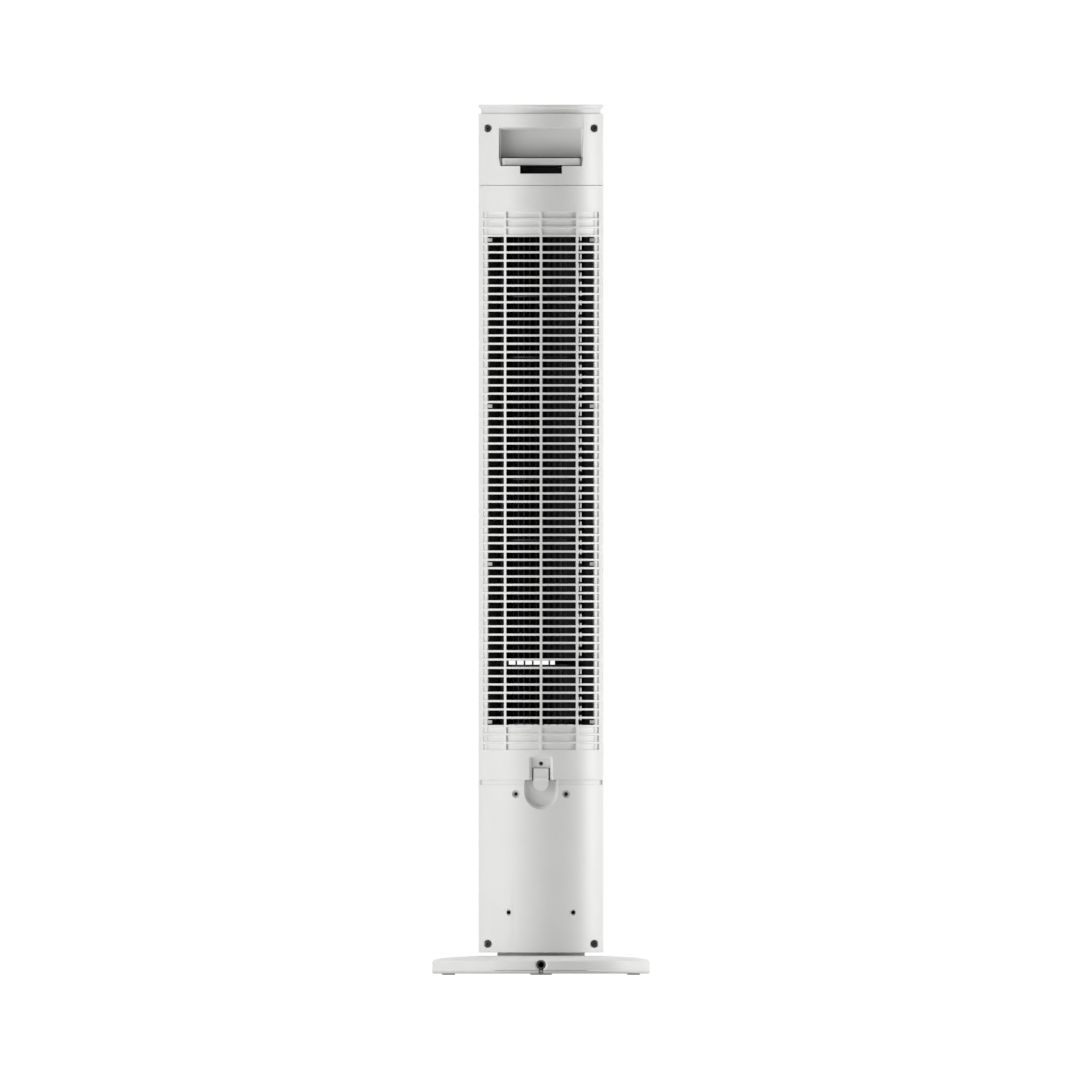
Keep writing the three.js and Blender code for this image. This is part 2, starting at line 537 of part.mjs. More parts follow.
function addImpellers() {
  const endDisc = (z, bore) => cut(rod(IMPELLER_R, [z, z + DISC_T], 0, 0, 24), rod(bore, [z - 1, z + 3]));
  const hub = (r, bore, range) => cut(rod(r, range), rod(bore, [range[0] - 1, range[1] + 1]));

  const [low0, low1] = [IMPELLER_Z[0], MIDDLE_GAP_Z[0]];
  const [lowBlades] = impeller([low0, low1], []);
  const lower = join(
    endDisc(low0, SHAFT_R + GAP), endDisc(low1 - DISC_T, PIN_R + GAP), lowBlades,
    hub(SHAFT_R + 5, SHAFT_R + GAP, [low0, low0 + 14]), hub(6, PIN_R + GAP, [low1 - 6, low1]),
  );
  part("impeller_lower", lower, BLACK, 0.5);

  const [up0, up1] = [MIDDLE_GAP_Z[1], IMPELLER_Z[1]];
  const bays = Math.round((up1 - up0) / SECTION);
  const middle = steps(1, bays - 1, bays - 2).map((i) => up0 - 2 + SECTION * i);
  const [upBlades, upDiscs] = impeller([up0, up1], middle);
  const upper = join(
    endDisc(up0, PIN_R + GAP), endDisc(up1 - DISC_T, STUB_R + GAP), upBlades, upDiscs,
    hub(6, PIN_R + GAP, [up0, up0 + 6]), hub(STUB_R + 5, STUB_R + GAP, [up1 - 10, up1]),
  );
  part("impeller_upper", upper, BLACK, 0.5);

  part("coupling_pin", rod(PIN_R, [low1 - 5.5, up0 + 5.5], 0, 0, 12), STEEL, 0.3, 0.9);
  part("motor_shaft", rod(SHAFT_R, [low0 - 71.7, low0 + 12.3]), STEEL, 0.3, 0.9);
  part("top_shaft", rod(STUB_R, [up1 - 9, DUCT_Z[1] + 4]), STEEL, 0.3, 0.9);
}

function addMotorAndBoards() {
  const bore = SHAFT_R + GAP;
  const boss = SHAFT_R + 8;
  const z = DUCT_Z[0];
  const motor = turned([
    [bore, z - 48], [26, z - 48], [30, z - 44], [40, z - 44], [40, z - 8], [30, z - 8],
    [26, z - 4], [boss, z - 4], [boss, z - 0.4], [bore, z - 0.4],
  ], 20);
  part("fan_motor", motor, 0x6d7073, 0.45, 0.7);
  // A strap that runs over the motor and down both sides to a clamp ring.
  const strap = join(
    box([-46, 46], [-7, 7], [z - 3, z - 0.4]),
    box([-46, -43], [-7, 7], [z - 34, z - 1]),
    box([43, 46], [-7, 7], [z - 34, z - 1]),
    turned([[41, z - 30], [45, z - 30], [45, z - 20], [41, z - 20]], 24),
  );
  const bracket = cut(strap, rod(boss + 1, [z - 10, z + 5]));
  part("motor_bracket", bracket, STEEL, 0.4, 0.8);

  const power = join(
    box([-32, 32], [-2, -0.4], [60, 150]), box([-24, -2], [-22, -1], [70, 92]),
    box([6, 24], [-18, -1], [74, 100]), box([-20, 20], [-12, -1], [116, 134]),
  );
  part("power_board", power, 0x2c5a3a, 0.6);
  const boardX = 2.5 * BUTTON_PITCH + 0.75;
  const boardY = [BUTTON_Y - 12, BUTTON_Y + 16];
  const board = box([-boardX, boardX], boardY, [HEIGHT - 16, HEIGHT - 14.4]);
  const switchTop = FLANGE_Z[0] - BUTTON_TRAVEL - 0.7;
  const switches = BUTTONS.map((_, i) => rod(3, [HEIGHT - 15, switchTop], buttonX(i), BUTTON_Y, 8));
  part("control_board", join(board, switches), 0x2c5a3a, 0.6);
}

function addTop() {
  const [skirtIn, skirtOut] = [CAP_R - 5.9, CAP_R - 3];
  const cap = turned([
    [0, HEIGHT - CAP_SKIN], [skirtIn, HEIGHT - CAP_SKIN], [skirtIn, CAP_Z], [skirtOut, CAP_Z],
    [skirtOut, HEIGHT - 4.5], [CAP_R - 1.3, HEIGHT - 4.5], [CAP_R, HEIGHT - 2.7],
    [CAP_R, HEIGHT], [0, HEIGHT],
  ]);
  const through = [HEIGHT - 20, HEIGHT + 5];
  const holes = BUTTONS.map((_, i) => rod(BUTTON_R + GAP, through, buttonX(i), BUTTON_Y));
  part("top_cap", cut(cap, ...holes), WHITE, 0.45);
  const flangeR = BUTTON_R + 1.2;
  BUTTONS.forEach((name, i) => {
    const profile = [[0, FLANGE_Z[0]], [flangeR, FLANGE_Z[0]], [flangeR, FLANGE_Z[1]],
      [BUTTON_R, FLANGE_Z[1]], [BUTTON_R, HEIGHT], [0, HEIGHT]];
    part(`button_${name}`, turned(profile, 16, buttonX(i), BUTTON_Y), 0xd9dadb, 0.4);
  });
}

// The remote lies on its back in the slot, with one long edge showing.
function addRemote() {
  const [z0, z1] = REMOTE.z;
  const [y0, y1] = REMOTE.y;
  const r = 4;
  const corner = (cx, cy, a0) => steps(a0, a0 + 90, 4).map((a) => {
    const [x, y] = polar(r, a);
    return [cx + x, cy + y];
  });
  const x = REMOTE.x;
  const outline = [
    ...corner(x - r, y1 - r, 0), ...corner(x - r, y0 + r, 90),
    ...corner(-x + r, y0 + r, 180), ...corner(-x + r, y1 - r, 270),
  ];
  const recess = box([-34, 34], [y0 + 7, y1 - 7], [z1 - 0.9, z1 + 1]);
  const battery = box([20, 40], [y0 + 6, y1 - 6], [z0 - 1, z0 + 1.4]);
  part("remote_body", cut(prism(outline, REMOTE.z), recess, battery), 0xe9e9e7, 0.45);
  const sheet = box([-33.6, 33.6], [y0 + 7.4, y1 - 7.4], [z1 - 0.6, z1 - 0.3]);
  const keys = steps(-26, 26, 4).flatMap((kx) =>
    [y0 + 14, y1 - 14].map((ky) => rod(3.6, [z1 - 0.5, z1], kx, ky, 8)));
  part("remote_keypad", join(sheet, keys), 0xa9abad, 0.8);
  const lid = box([20.3, 39.7], [y0 + 6.3, y1 - 6.3], [z0 + 0.05, z0 + 1.1]);
  part("remote_battery_cover", lid, 0xdededc, 0.5);
}

addBase();
addSwingDrive();
addHousings();
addRearGrille();
addFrontGrille();
addDuct();
addImpellers();
addMotorAndBoards();
addTop();
addRemote();
addScrews();

export default fan;
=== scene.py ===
# %% [markdown]
# # A tower fan, seen from the back
# The lesson starts from a finished mechanical model, the frame: solids for every part, each
# already riding on the body that moves it. Blender gives the visible parts fine shapes and
# materials. Loading comes first, because every size below is read from the frame or lines up
# with it.

# %% Load the frame
import math

import bmesh
import bpy
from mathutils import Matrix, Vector


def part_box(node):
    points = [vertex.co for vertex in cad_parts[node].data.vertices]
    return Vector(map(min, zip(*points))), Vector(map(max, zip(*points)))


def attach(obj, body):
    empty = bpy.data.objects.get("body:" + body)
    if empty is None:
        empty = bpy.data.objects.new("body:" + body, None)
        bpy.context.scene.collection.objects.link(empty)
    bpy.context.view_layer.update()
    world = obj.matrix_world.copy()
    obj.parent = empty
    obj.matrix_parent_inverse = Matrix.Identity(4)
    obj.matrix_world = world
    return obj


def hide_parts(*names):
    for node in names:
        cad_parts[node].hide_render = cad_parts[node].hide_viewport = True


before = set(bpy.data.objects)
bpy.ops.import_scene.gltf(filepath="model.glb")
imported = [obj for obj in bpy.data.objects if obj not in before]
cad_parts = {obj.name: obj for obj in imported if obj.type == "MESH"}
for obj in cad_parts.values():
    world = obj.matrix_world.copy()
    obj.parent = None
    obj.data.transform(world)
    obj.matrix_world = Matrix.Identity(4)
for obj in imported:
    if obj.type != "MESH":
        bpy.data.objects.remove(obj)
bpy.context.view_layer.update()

# %% [markdown]
# ## Sizes
# The frame is in metres, but a maker thinks in millimetres, so one helper reads a node's box
# in millimetres. Sizes that are the same on several pieces get a name here.

# %% Read the main sizes
MM = 0.001


def box_mm(node):
    low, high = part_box(node)
    return [(low[i] / MM, high[i] / MM) for i in range(3)]


COLUMN_R = round(box_mm("front_housing")[1][0] * -1, 2)
WALL = 2.5
INNER_R = COLUMN_R - WALL
HEIGHT = round(box_mm("top_cap")[2][1], 1)
BASE_R = round(box_mm("base_shell")[0][1], 1)
SPLIT = 80  # the rear mouldings end this many degrees either side of the back
grille_z = box_mm("rear_grille")[2]
lower_z = box_mm("lower_rear_housing")[2]
upper_z = box_mm("upper_rear_housing")[2]
print("column radius", COLUMN_R, "height", HEIGHT, "base radius", BASE_R)

# %% [markdown]
# ## Camera
# The fan is seen square on from behind, and the sides of the column stay parallel, so the
# camera is orthographic: like a very long lens from far away.

# %% Place the camera
FRAME_WIDTH = 1.2412  # metres seen across the frame: the fan's height and a margin
camera_data = bpy.data.cameras.new("square_on_camera")
camera_data.type = "ORTHO"
camera_data.ortho_scale = FRAME_WIDTH
camera = bpy.data.objects.new("square_on_camera", camera_data)
camera.location = (0.0012, 3.0, 0.4996)
camera.rotation_euler = (math.radians(90), 0, math.radians(180))
bpy.context.scene.collection.objects.link(camera)
bpy.context.scene.camera = camera
print("camera looks along", camera.matrix_basis.to_3x3() @ Vector((0, 0, -1)))

# %% [markdown]
# ## Materials
# Nearly everything on the fan is moulded plastic. A mould is spark-eroded to a fine satin
# grain, so the surface has a soft sheen instead of a mirror. The real grain is about 0.1 mm,
# too fine to show, so it is drawn a few times coarser. One helper adds a node, and one recipe
# turns a real finish (two close colours, a roughness, a grain size) into a material.

# %% Helpers for materials
NOISE_LOW, NOISE_HIGH = 0.3, 0.7  # a noise texture seldom leaves this band
GLOSS_SWING = 0.04
BUMP_STRENGTH = 0.5
COAT_ROUGHNESS = 0.06


def linear(hex_colour):
    """Turns a colour as a maker writes it, #RRGGBB, to linear values by the sRGB curve."""
    parts = [int(hex_colour[i:i + 2], 16) / 255 for i in (1, 3, 5)]
    return [c / 12.92 if c <= 0.04045 else ((c + 0.055) / 1.055) ** 2.4 for c in parts] + [1]


def add(tree, kind, links=None, **settings):
    """Adds a node. links holds socket values, or the sockets that feed them."""
    made = tree.nodes.new(kind)
    for name, value in settings.items():
        setattr(made, name, value)
    for socket, value in (links or {}).items():
        if isinstance(value, bpy.types.NodeSocket):
            tree.links.new(value, made.inputs[socket])
        else:
            made.inputs[socket].default_value = value
    return made


def finish(name, colours, roughness, grain_mm, relief_mm, metallic=0.0, ior=None,
           stretch=(1, 1, 1), patch_mm=40, coat=0.0):
    """A surface with fine grain, slow colour patches and slightly uneven gloss."""
    material = bpy.data.materials.new(name)
    material.use_nodes = True
    tree = material.node_tree
    shader = tree.nodes["Principled BSDF"]
    spot = add(tree, "ShaderNodeTexCoord").outputs["Object"]
    stretched = add(tree, "ShaderNodeMapping", {"Vector": spot, "Scale": stretch})
    grain = add(tree, "ShaderNodeTexNoise", {
        "Vector": stretched.outputs["Vector"], "Scale": 1 / (grain_mm * MM), "Detail": 3.0})
    patches = add(tree, "ShaderNodeTexNoise", {
        "Vector": spot, "Scale": 1 / (patch_mm * MM), "Detail": 2.0})
    colour = add(tree, "ShaderNodeMix", {
        0: patches.outputs["Fac"], 6: linear(colours[0]), 7: linear(colours[1])}, data_type="RGBA")
    gloss = add(tree, "ShaderNodeMapRange", {
        "Value": grain.outputs["Fac"], "From Min": NOISE_LOW, "From Max": NOISE_HIGH,
        "To Min": roughness - GLOSS_SWING, "To Max": roughness + GLOSS_SWING})
    bump = add(tree, "ShaderNodeBump", {
        "Height": grain.outputs["Fac"], "Distance": relief_mm * MM, "Strength": BUMP_STRENGTH})
    tree.links.new(colour.outputs[2], shader.inputs["Base Color"])
    tree.links.new(gloss.outputs["Result"], shader.inputs["Roughness"])
    tree.links.new(bump.outputs["Normal"], shader.inputs["Normal"])
    shader.inputs["Metallic"].default_value = metallic
    if ior:
        shader.inputs["IOR"].default_value = ior
    if coat:
        shader.inputs["Coat Weight"].default_value = coat
        shader.inputs["Coat Roughness"].default_value = COAT_ROUGHNESS
    return material


# %% [markdown]
# The housings are ABS, injection moulded. The tints differ a little between the mouldings, so that
# pieces which touch still read as separate ones; the remote's and the neck's lighter whites are
# painted light against their shade.

# %% Mix the white and grey plastics
SATIN = 0.5  # mm: a spark-eroded grain of 0.1 mm, drawn five times coarser so that it shows
# Moulded ABS, white and very slightly warm: a satin skin with broad, soft highlights.
abs_white = finish("abs_white_satin", ("#EDEDEC", "#E7E7E6"), 0.42, SATIN, 0.012, ior=1.53)
# ABS from a smoother mould; its lighter white is painted light against the slot's shade, so the
# remote reads as its own bright bar.
abs_remote_painted_light = finish("abs_white_remote_painted_light", ("#F7F7F6", "#F2F2F1"), 0.4, SATIN, 0.01, ior=1.53)
# ABS tinted pale grey: it sets the outlet grille and the underside off from the shell.
abs_pale = finish("abs_pale_grey", ("#DEDEDC", "#D6D6D4"), 0.45, SATIN, 0.012, ior=1.53)
# ABS with a rougher skin: the neck stays matt and shows no glint in its shade. Its lighter white is
# painted light that lifts it in that shade.
abs_neck_painted_light = finish("abs_white_neck_painted_light", ("#F3F3F2", "#EDEDEC"), 0.5, SATIN, 0.015, ior=1.53)
# ABS tinted grey, from a finer mould: each key catches one small highlight.
abs_button = finish("abs_button_grey", ("#CFD0D1", "#C6C7C8"), 0.35, 0.4, 0.01, ior=1.53)
print("housing plastics ready:", len(bpy.data.materials))

# %% [markdown]
# Behind the grille everything is black polypropylene, a little greasier in its shine. The
# small parts differ most to the touch: rubber feet, silicone keys, waxy gears, a hard lens.
# Their grains are drawn a few times coarser than real, like that of the ABS.

# %% Mix the black and the soft plastics
# Moulded polypropylene: dark, with just enough shine to draw the blades as faint glints.
polypropylene = finish("polypropylene_black", ("#0C0D0F", "#08090A"), 0.42, 0.6, 0.02, ior=1.49)
# Polypropylene from a coarse mould: it swallows light, so the gaps beside it look deep.
polypropylene_duct = finish("polypropylene_matt_black", ("#08090A", "#050506"), 0.6, 0.7, 0.03,
                            ior=1.49)
# Moulded rubber, grey: the feet are so dull that they show no highlight.
rubber = finish("rubber_foot_grey", ("#C4C4C3", "#B9B9B8"), 0.8, 0.6, 0.04, ior=1.52)
# Moulded rubber, black under a bloom of dust: the cord sleeve keeps a visible rim.
rubber_black = finish("rubber_sleeve_black", ("#5A5B5E", "#4E4F52"), 0.7, 0.6, 0.03, ior=1.52)
# Moulded silicone sheet: a soft, skin-like sheen on the remote's keys.
silicone = finish("silicone_key_grey", ("#8E9092", "#85878A"), 0.7, SATIN, 0.02, ior=1.41)
# Moulded acetal, undyed: a waxy cream that marks the gears off from the housing.
acetal = finish("acetal_natural", ("#E7E3D6", "#DDD8C8"), 0.35, SATIN, 0.01, ior=1.48)
# Polished acrylic, smoked and hard-coated: the one mirror-like surface, a dark window.
acrylic = finish("acrylic_smoked_black", ("#0B0C0E", "#08090A"), 0.12, 3.0, 0.002, ior=1.49,
                 coat=0.6)
# Solder mask over glass weave: a green lacquer with the cloth's relief just felt under it.
solder_mask = finish("solder_mask_green", ("#1F5A36", "#1A4D2E"), 0.4, 1.2, 0.03, ior=1.5)
print("plastics ready:", len(bpy.data.materials))

# %% [markdown]
# Metals keep the shader's own IOR and take their look from colour and roughness.

# %% Mix the metals
ROLLED = (1, 1, 0.15)  # rolling draws the grain out along one direction
# Rolled sheet steel, zinc plated: cool grey with fine streaks along its length.
steel_zinc = finish("steel_zinc_plated", ("#B9BCC0", "#A7AAAE"), 0.34, 0.6, 0.01, metallic=1.0,
                    stretch=ROLLED)
# Turned screw steel under black oxide: dark, but its rim still has a dull metal edge.
steel_black = finish("steel_black_oxide", ("#5B5C5F", "#505154"), 0.5, 0.4, 0.01, metallic=0.5)
# Cast iron as it leaves the sand: coarse, dark and nearly without shine.
iron = finish("cast_iron_grey", ("#55575A", "#45474A"), 0.7, 1.5, 0.15, metallic=0.7)
# Bronze pressed from powder: a warm, grainy gold that tells a bearing from a plain ring.
bronze = finish("sintered_bronze", ("#9A7443", "#86632F"), 0.45, 0.4, 0.03, metallic=1.0)
print("metals ready:", len(bpy.data.materials))

# %% [markdown]
# ## Building helpers
# Each piece is made in plain mesh code. Three makers are enough for this fan: a stepped
# curved wall (a wall with windows and grooves, bent round the column), a turned piece (a
# profile spun round an axis) and a solid between two outlines. Holes that cross the curve are
# then cut with booleans. Cutters end well outside the column, so their outer sizes only have
# to be large enough.

# %% Helpers that make meshes


def polar(radius, angle):
    """x and y in mm; the angle runs from the back (+Y) towards +X, in degrees."""
    return radius * math.sin(math.radians(angle)), radius * math.cos(math.radians(angle))


def mesh_object(name, vertices, faces):
    """An object from points in mm, with matching points welded and faces turned outwards."""
    mesh = bpy.data.meshes.new(name)
    shape = bmesh.new()
    made = [shape.verts.new([c * MM for c in v]) for v in vertices]
    for face in faces:
        shape.faces.new([made[i] for i in face])
    bmesh.ops.remove_doubles(shape, verts=shape.verts, dist=1e-7)
    bmesh.ops.recalc_face_normals(shape, faces=shape.faces)
    shape.to_mesh(mesh)
    shape.free()
    piece = bpy.data.objects.new(name, mesh)
    bpy.context.scene.collection.objects.link(piece)
    return piece


def steps(start, end, count):
    """Evenly spaced values from start to end, with both ends included."""
    return [start + (end - start) * i / count for i in range(count + 1)]


def curved_wall(name, angles, heights, outer, inner, straight=0):
    """A wall round the column on a grid of angles and heights.
    outer and inner give a cell's two radii from its middle; outer gives None for a hole.
    Nearer to the middle than straight, in mm, side walls run along Y, as the mould opens."""
    cells = {}
    for i in range(len(angles) - 1):
        for j in range(len(heights) - 1):
            at = ((angles[i] + angles[i + 1]) / 2, (heights[j] + heights[j + 1]) / 2)
            if outer(*at) is not None:
                cells[i, j] = (round(inner(*at), 3), round(outer(*at), 3))
    levels = sorted({r for cell in cells.values() for r in cell})
    points, index, faces = [], {}, []

    def point(i, j, r):
        if (i, j, r) not in index:
            index[i, j, r] = len(points)
            x, y = polar(r, angles[i])
            edge = polar(COLUMN_R, angles[i])[0]
            if abs(edge) < straight:
                x, y = edge, math.copysign(math.sqrt(r ** 2 - edge ** 2), y)
            points.append((x, y, heights[j]))
        return index[i, j, r]

    def side(a, b, low, high):
        rungs = [r for r in levels if low <= r <= high]
        for r0, r1 in zip(rungs, rungs[1:]):
            faces.append([point(*a, r0), point(*b, r0), point(*b, r1), point(*a, r1)])

    for (i, j), (r_in, r_out) in cells.items():
        for r in (r_in, r_out):
            faces.append([point(i, j, r), point(i + 1, j, r),
                          point(i + 1, j + 1, r), point(i, j + 1, r)])
        for di, dj, a, b in ((1, 0, (i + 1, j), (i + 1, j + 1)), (-1, 0, (i, j), (i, j + 1)),
                             (0, 1, (i, j + 1), (i + 1, j + 1)), (0, -1, (i, j), (i + 1, j))):
            other = cells.get((i + di, j + dj))
            if other is None:
                side(a, b, r_in, r_out)
                continue
            if r_out > other[1]:
                side(a, b, other[1], r_out)
            if r_in < other[0]:
                side(a, b, r_in, other[0])
    return mesh_object(name, points, faces)


def turned(name, profile, count=96, at=(0, 0), along="Z"):
    """Spins a profile of (radius, height) points; along Y the height runs along Y instead."""
    rings, points, faces = [], [], []
    for r, h in profile:
        ring = []
        for k in range(count if r > 0 else 1):
            a, b = polar(r, 360 * k / count)
            ring.append(len(points))
            points.append((at[0] + a, at[1] + b, h) if along == "Z"
                          else (at[0] + a, h, at[1] + b))
        rings.append(ring)
    closed = profile[0][0] > 0
    for low, high in zip(rings, rings[1:] + (rings[:1] if closed else [])):
        for k in range(count):
            quad = [low[k % len(low)], low[(k + 1) % len(low)],
                    high[(k + 1) % len(high)], high[k % len(high)]]
            faces.append(list(dict.fromkeys(quad)))
    return mesh_object(name, points, faces)


def between(name, first, second):
    """A solid between two outlines that have the same number of points."""
    n = len(first)
    faces = [list(range(n)), list(range(n, 2 * n))]
    faces += [[k, (k + 1) % n, n + (k + 1) % n, n + k] for k in range(n)]
    return mesh_object(name, first + second, faces)


def pushed(name, outline, low, high, along="Z"):
    """A prism: an outline of flat points between two levels along Z or Y."""
    if along == "Z":
        return between(name, [(a, b, low) for a, b in outline], [(a, b, high) for a, b in outline])
    return between(name, [(a, low, b) for a, b in outline], [(a, high, b) for a, b in outline])


def tapered(name, back, y_back, front, y_front):
    """A solid between two outlines of (x, z) points, one at the back and one at the front."""
    return between(name, [(x, y_back, z) for x, z in back], [(x, y_front, z) for x, z in front])


def rounded_outline(x, y, radius, count=8):
    """A rectangle's outline with a quarter circle of count chords at each corner."""
    points = []
    for cx, cy, start in ((x[1] - radius, y[1] - radius, 0), (x[1] - radius, y[0] + radius, 90),
                          (x[0] + radius, y[0] + radius, 180), (x[0] + radius, y[1] - radius, 270)):
        for a in steps(start, start + 90, count):
            dx, dy = polar(radius, a)
            points.append((cx + dx, cy + dy))
    return points


def block(x, y, z, taper=0.0):
    """A box in mm for cutting; taper makes its +Y face that much larger on each side."""
    ends = []
    for level, grow in ((y[0], 0), (y[1], taper)):
        ends.append([(x[0] - grow, level, z[0] - grow), (x[1] + grow, level, z[0] - grow),
                     (x[1] + grow, level, z[1] + grow), (x[0] - grow, level, z[1] + grow)])
    return between("cutter", *ends)


# %% [markdown]
# Booleans and bevels are modifiers, and each is applied at once, so that the piece that is
# kept is a plain mesh. Every edge is rounded, because no moulded edge is perfectly sharp.
# Weighted normals keep the large faces looking flat next to the narrow rounded edges.

# %% Helpers that shape and place pieces
WELD, SHORTEST = 0.02, 0.01  # mm: points this close become one, and shorter edges go
CREASE = 50  # degrees: sharper corners than this keep their own normals


def apply_modifiers(piece):
    """Replaces a piece's mesh by what its modifiers make of it."""
    graph = bpy.context.evaluated_depsgraph_get()
    mesh = bpy.data.meshes.new_from_object(piece.evaluated_get(graph))
    piece.modifiers.clear()
    piece.data = mesh


def combine(piece, others, operation="DIFFERENCE"):
    """Cuts the others from a piece, or joins them, one after the other."""
    for other in others:
        modifier = piece.modifiers.new("combine", "BOOLEAN")
        modifier.operation = operation
        modifier.solver = "EXACT"
        modifier.object = other
        apply_modifiers(piece)
        bpy.data.objects.remove(other)
    return piece


def round_edges(piece, width_mm, segments=2, sharpest=35):
    """Rounds the edges that turn by more than sharpest degrees, and smooths the shading."""
    shape = bmesh.new()
    shape.from_mesh(piece.data)
    bmesh.ops.remove_doubles(shape, verts=shape.verts, dist=WELD * MM)
    bmesh.ops.dissolve_degenerate(shape, edges=shape.edges, dist=SHORTEST * MM)
    shape.to_mesh(piece.data)
    shape.free()
    if width_mm:
        bevel = piece.modifiers.new("round", "BEVEL")
        bevel.width = width_mm * MM
        bevel.segments = segments
        bevel.limit_method = "ANGLE"
        bevel.angle_limit = math.radians(sharpest)
        bevel.use_clamp_overlap = False
        apply_modifiers(piece)
    piece.data.polygons.foreach_set("use_smooth", [True] * len(piece.data.polygons))
    piece.data.set_sharp_from_angle(angle=math.radians(CREASE))
    weighted = piece.modifiers.new("normals", "WEIGHTED_NORMAL")
    weighted.keep_sharp = True
    apply_modifiers(piece)
    return piece


def place(piece, material, body, slot, *nodes):
    """Gives a finished piece its material and its body, and hides the CAD nodes it stands for. The
    slot is not used.
    """
    piece.data.materials.clear()
    piece.data.materials.append(material)
    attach(piece, body)
    if nodes:
        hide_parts(*nodes)
    print(f"{piece.name}: {len(piece.data.polygons)} faces on {body}")
    return piece


# %% [markdown]
# ## Base
# The base is a wide shell, slightly domed so that dust wipes off, over a bottom cover. The
# cord leaves through a keyhole at the back: the round top grips a gland and the stem lets the
# cord be pressed in from below. The shell is turned from a profile whose top follows a shallow
# curve, and the keyhole is cut afterwards.

# %% Turn the base shell
seam_z, base_top = box_mm("base_shell")[2]
neck_hole = box_mm("swivel_neck")[0][1] - 3.3
gland_y, gland_z = box_mm("cord_gland")[1:]
gland_mid = 11.5  # mm from the floor to the middle of the cord's outlet
HOLE_R, STEM = 5.4, 2.5  # the keyhole's round part, and half the width of its stem
BASE_WALL = 3
# Each point of the dome is a radius and how far the skin lies below the top there.
dome = [(75, 0), (86.8, 0.7), (97, 1.25), (107, 1.95), (115, 2.9), (120, 3.7), (123, 4.7),
        (124.6, 6.0), (BASE_R, 7.6)]
shell = turned("base_disc", (
    [(neck_hole, base_top)] + [(r, base_top - d) for r, d in dome]
    + [(BASE_R, seam_z), (BASE_R - BASE_WALL, seam_z), (BASE_R - BASE_WALL, base_top - 8.6)]
    + [(r - 1, base_top - d - BASE_WALL) for r, d in dome[5:0:-2]]
    + [(neck_hole, base_top - BASE_WALL)]), 180)
keyhole = [turned("cutter", [(0, 90), (HOLE_R, 90), (HOLE_R, 135), (0, 135)], 40,
                  (0, gland_mid), "Y"),
           block((-STEM, STEM), (90, 135), (-2, gland_mid))]
mouth = turned("cutter", [(0, 123), (HOLE_R, 123), (8.2, 125.2), (0, 125.2)], 48,
               (0, gland_mid), "Y")
combine(shell, keyhole + [mouth])
place(round_edges(shell, 0.4), abs_white, "base", "white_housing", "base_shell")

# %% [markdown]
# The bottom cover is a flat dish with a shallow ring groove underneath and a raised collar
# inside that the bearing sits on. Its edge stays off the floor, so a thin shadow shows there,
# and a small tab carries the gland.

# %% Turn the bottom cover
LIFT, GROOVE_TOP, COLLAR_TOP = 1.3, 1.9, 12
cover_top = box_mm("base_weight")[2][0] - 0.4
cover = turned("base_underside", [
    (0, LIFT), (60, LIFT), (60, GROOVE_TOP), (64, GROOVE_TOP), (64, LIFT), (BASE_R - 1.4, LIFT),
    (BASE_R, 2.6), (BASE_R, cover_top), (53, cover_top), (53, COLLAR_TOP), (47, COLLAR_TOP),
    (47, cover_top), (0, cover_top)], 180)
combine(cover, [block((-STEM, STEM), (117, 135), (-2, gland_mid))])
combine(cover, [block((-1.5, 1.5), (112, 121), (2, gland_z[0] - 0.3))], "UNION")
place(round_edges(cover, 0.3), abs_pale, "base", "pale_grey_plastic", "base_bottom_cover")

# %% [markdown]
# Five rubber pads carry the weight: three round ones, and a pair at the back either side of
# the cord notch. Each gets a soft rounded edge, as rubber has. The gland is a short rubber
# tube with a collar at its inner end, which keeps it from being pulled out.

# %% Press the feet and the cord gland
GLAND_BORE, GLAND_R, COLLAR_R = 3.4, 5.1, 5.6
for where in ("front", "left", "right"):
    x, y, z = box_mm("foot_" + where)
    pad_r = (x[1] - x[0]) / 2
    pad = turned("pad_" + where, [(0, z[0]), (pad_r - 0.4, z[0]), (pad_r, z[0] + 0.4),
                                  (pad_r, z[1]), (0, z[1])], 48,
                 ((x[0] + x[1]) / 2, (y[0] + y[1]) / 2))
    place(round_edges(pad, 0.15), rubber, "base", "foot_rubber", "foot_" + where)
for where in ("rear_left", "rear_right"):
    x, y, z = box_mm("foot_" + where)
    pad = pushed("pad_" + where, [(x[0], y[0]), (x[1], y[0]), (x[1], y[1]), (x[0], y[1])], *z)
    place(round_edges(pad, 0.3, 3), rubber, "base", "foot_rubber", "foot_" + where)

gland = turned("cord_sleeve", [
    (GLAND_BORE, gland_y[0]), (COLLAR_R, gland_y[0]), (COLLAR_R, gland_y[0] + 4),
    (GLAND_R, gland_y[0] + 4), (GLAND_R, gland_y[1] - 0.6), (GLAND_R - 0.6, gland_y[1]),
    (GLAND_BORE, gland_y[1])], 48, (0, gland_mid), "Y")
combine(gland, [block((-8, 8), (80, 130), (-2, gland_z[0]))])
place(round_edges(gland, 0.2), rubber_black, "base", "black_plastic", "cord_gland")

# %% [markdown]
# ## Column skin
# The column is a tube in several mouldings: the front housing goes round the front and sides,
# and three rear pieces close the back, with a groove between them where one slips under the
# next. It turns on a short hollow neck, whose flange is held under the base shell.

# %% Turn the neck
NECK_WALL, FLANGE, FLANGE_TOP = 3.7, 3.8, 18.1
neck_x, _, neck_z = box_mm("swivel_neck")
neck_r = neck_x[1] - FLANGE
neck = turned("swivel_collar", [
    (neck_r - NECK_WALL, neck_z[0]), (neck_x[1], neck_z[0]), (neck_x[1], FLANGE_TOP),
    (neck_r, FLANGE_TOP), (neck_r, neck_z[1]), (neck_r - NECK_WALL, neck_z[1])], 128)
place(round_edges(neck, 0.25), abs_neck_painted_light, "column", "neck_plastic", "swivel_neck")

# %% [markdown]
# The front housing carries the outlet window and the display window. The stepped wall maker
# builds it in one go, with exact grid lines along the edges of both windows.

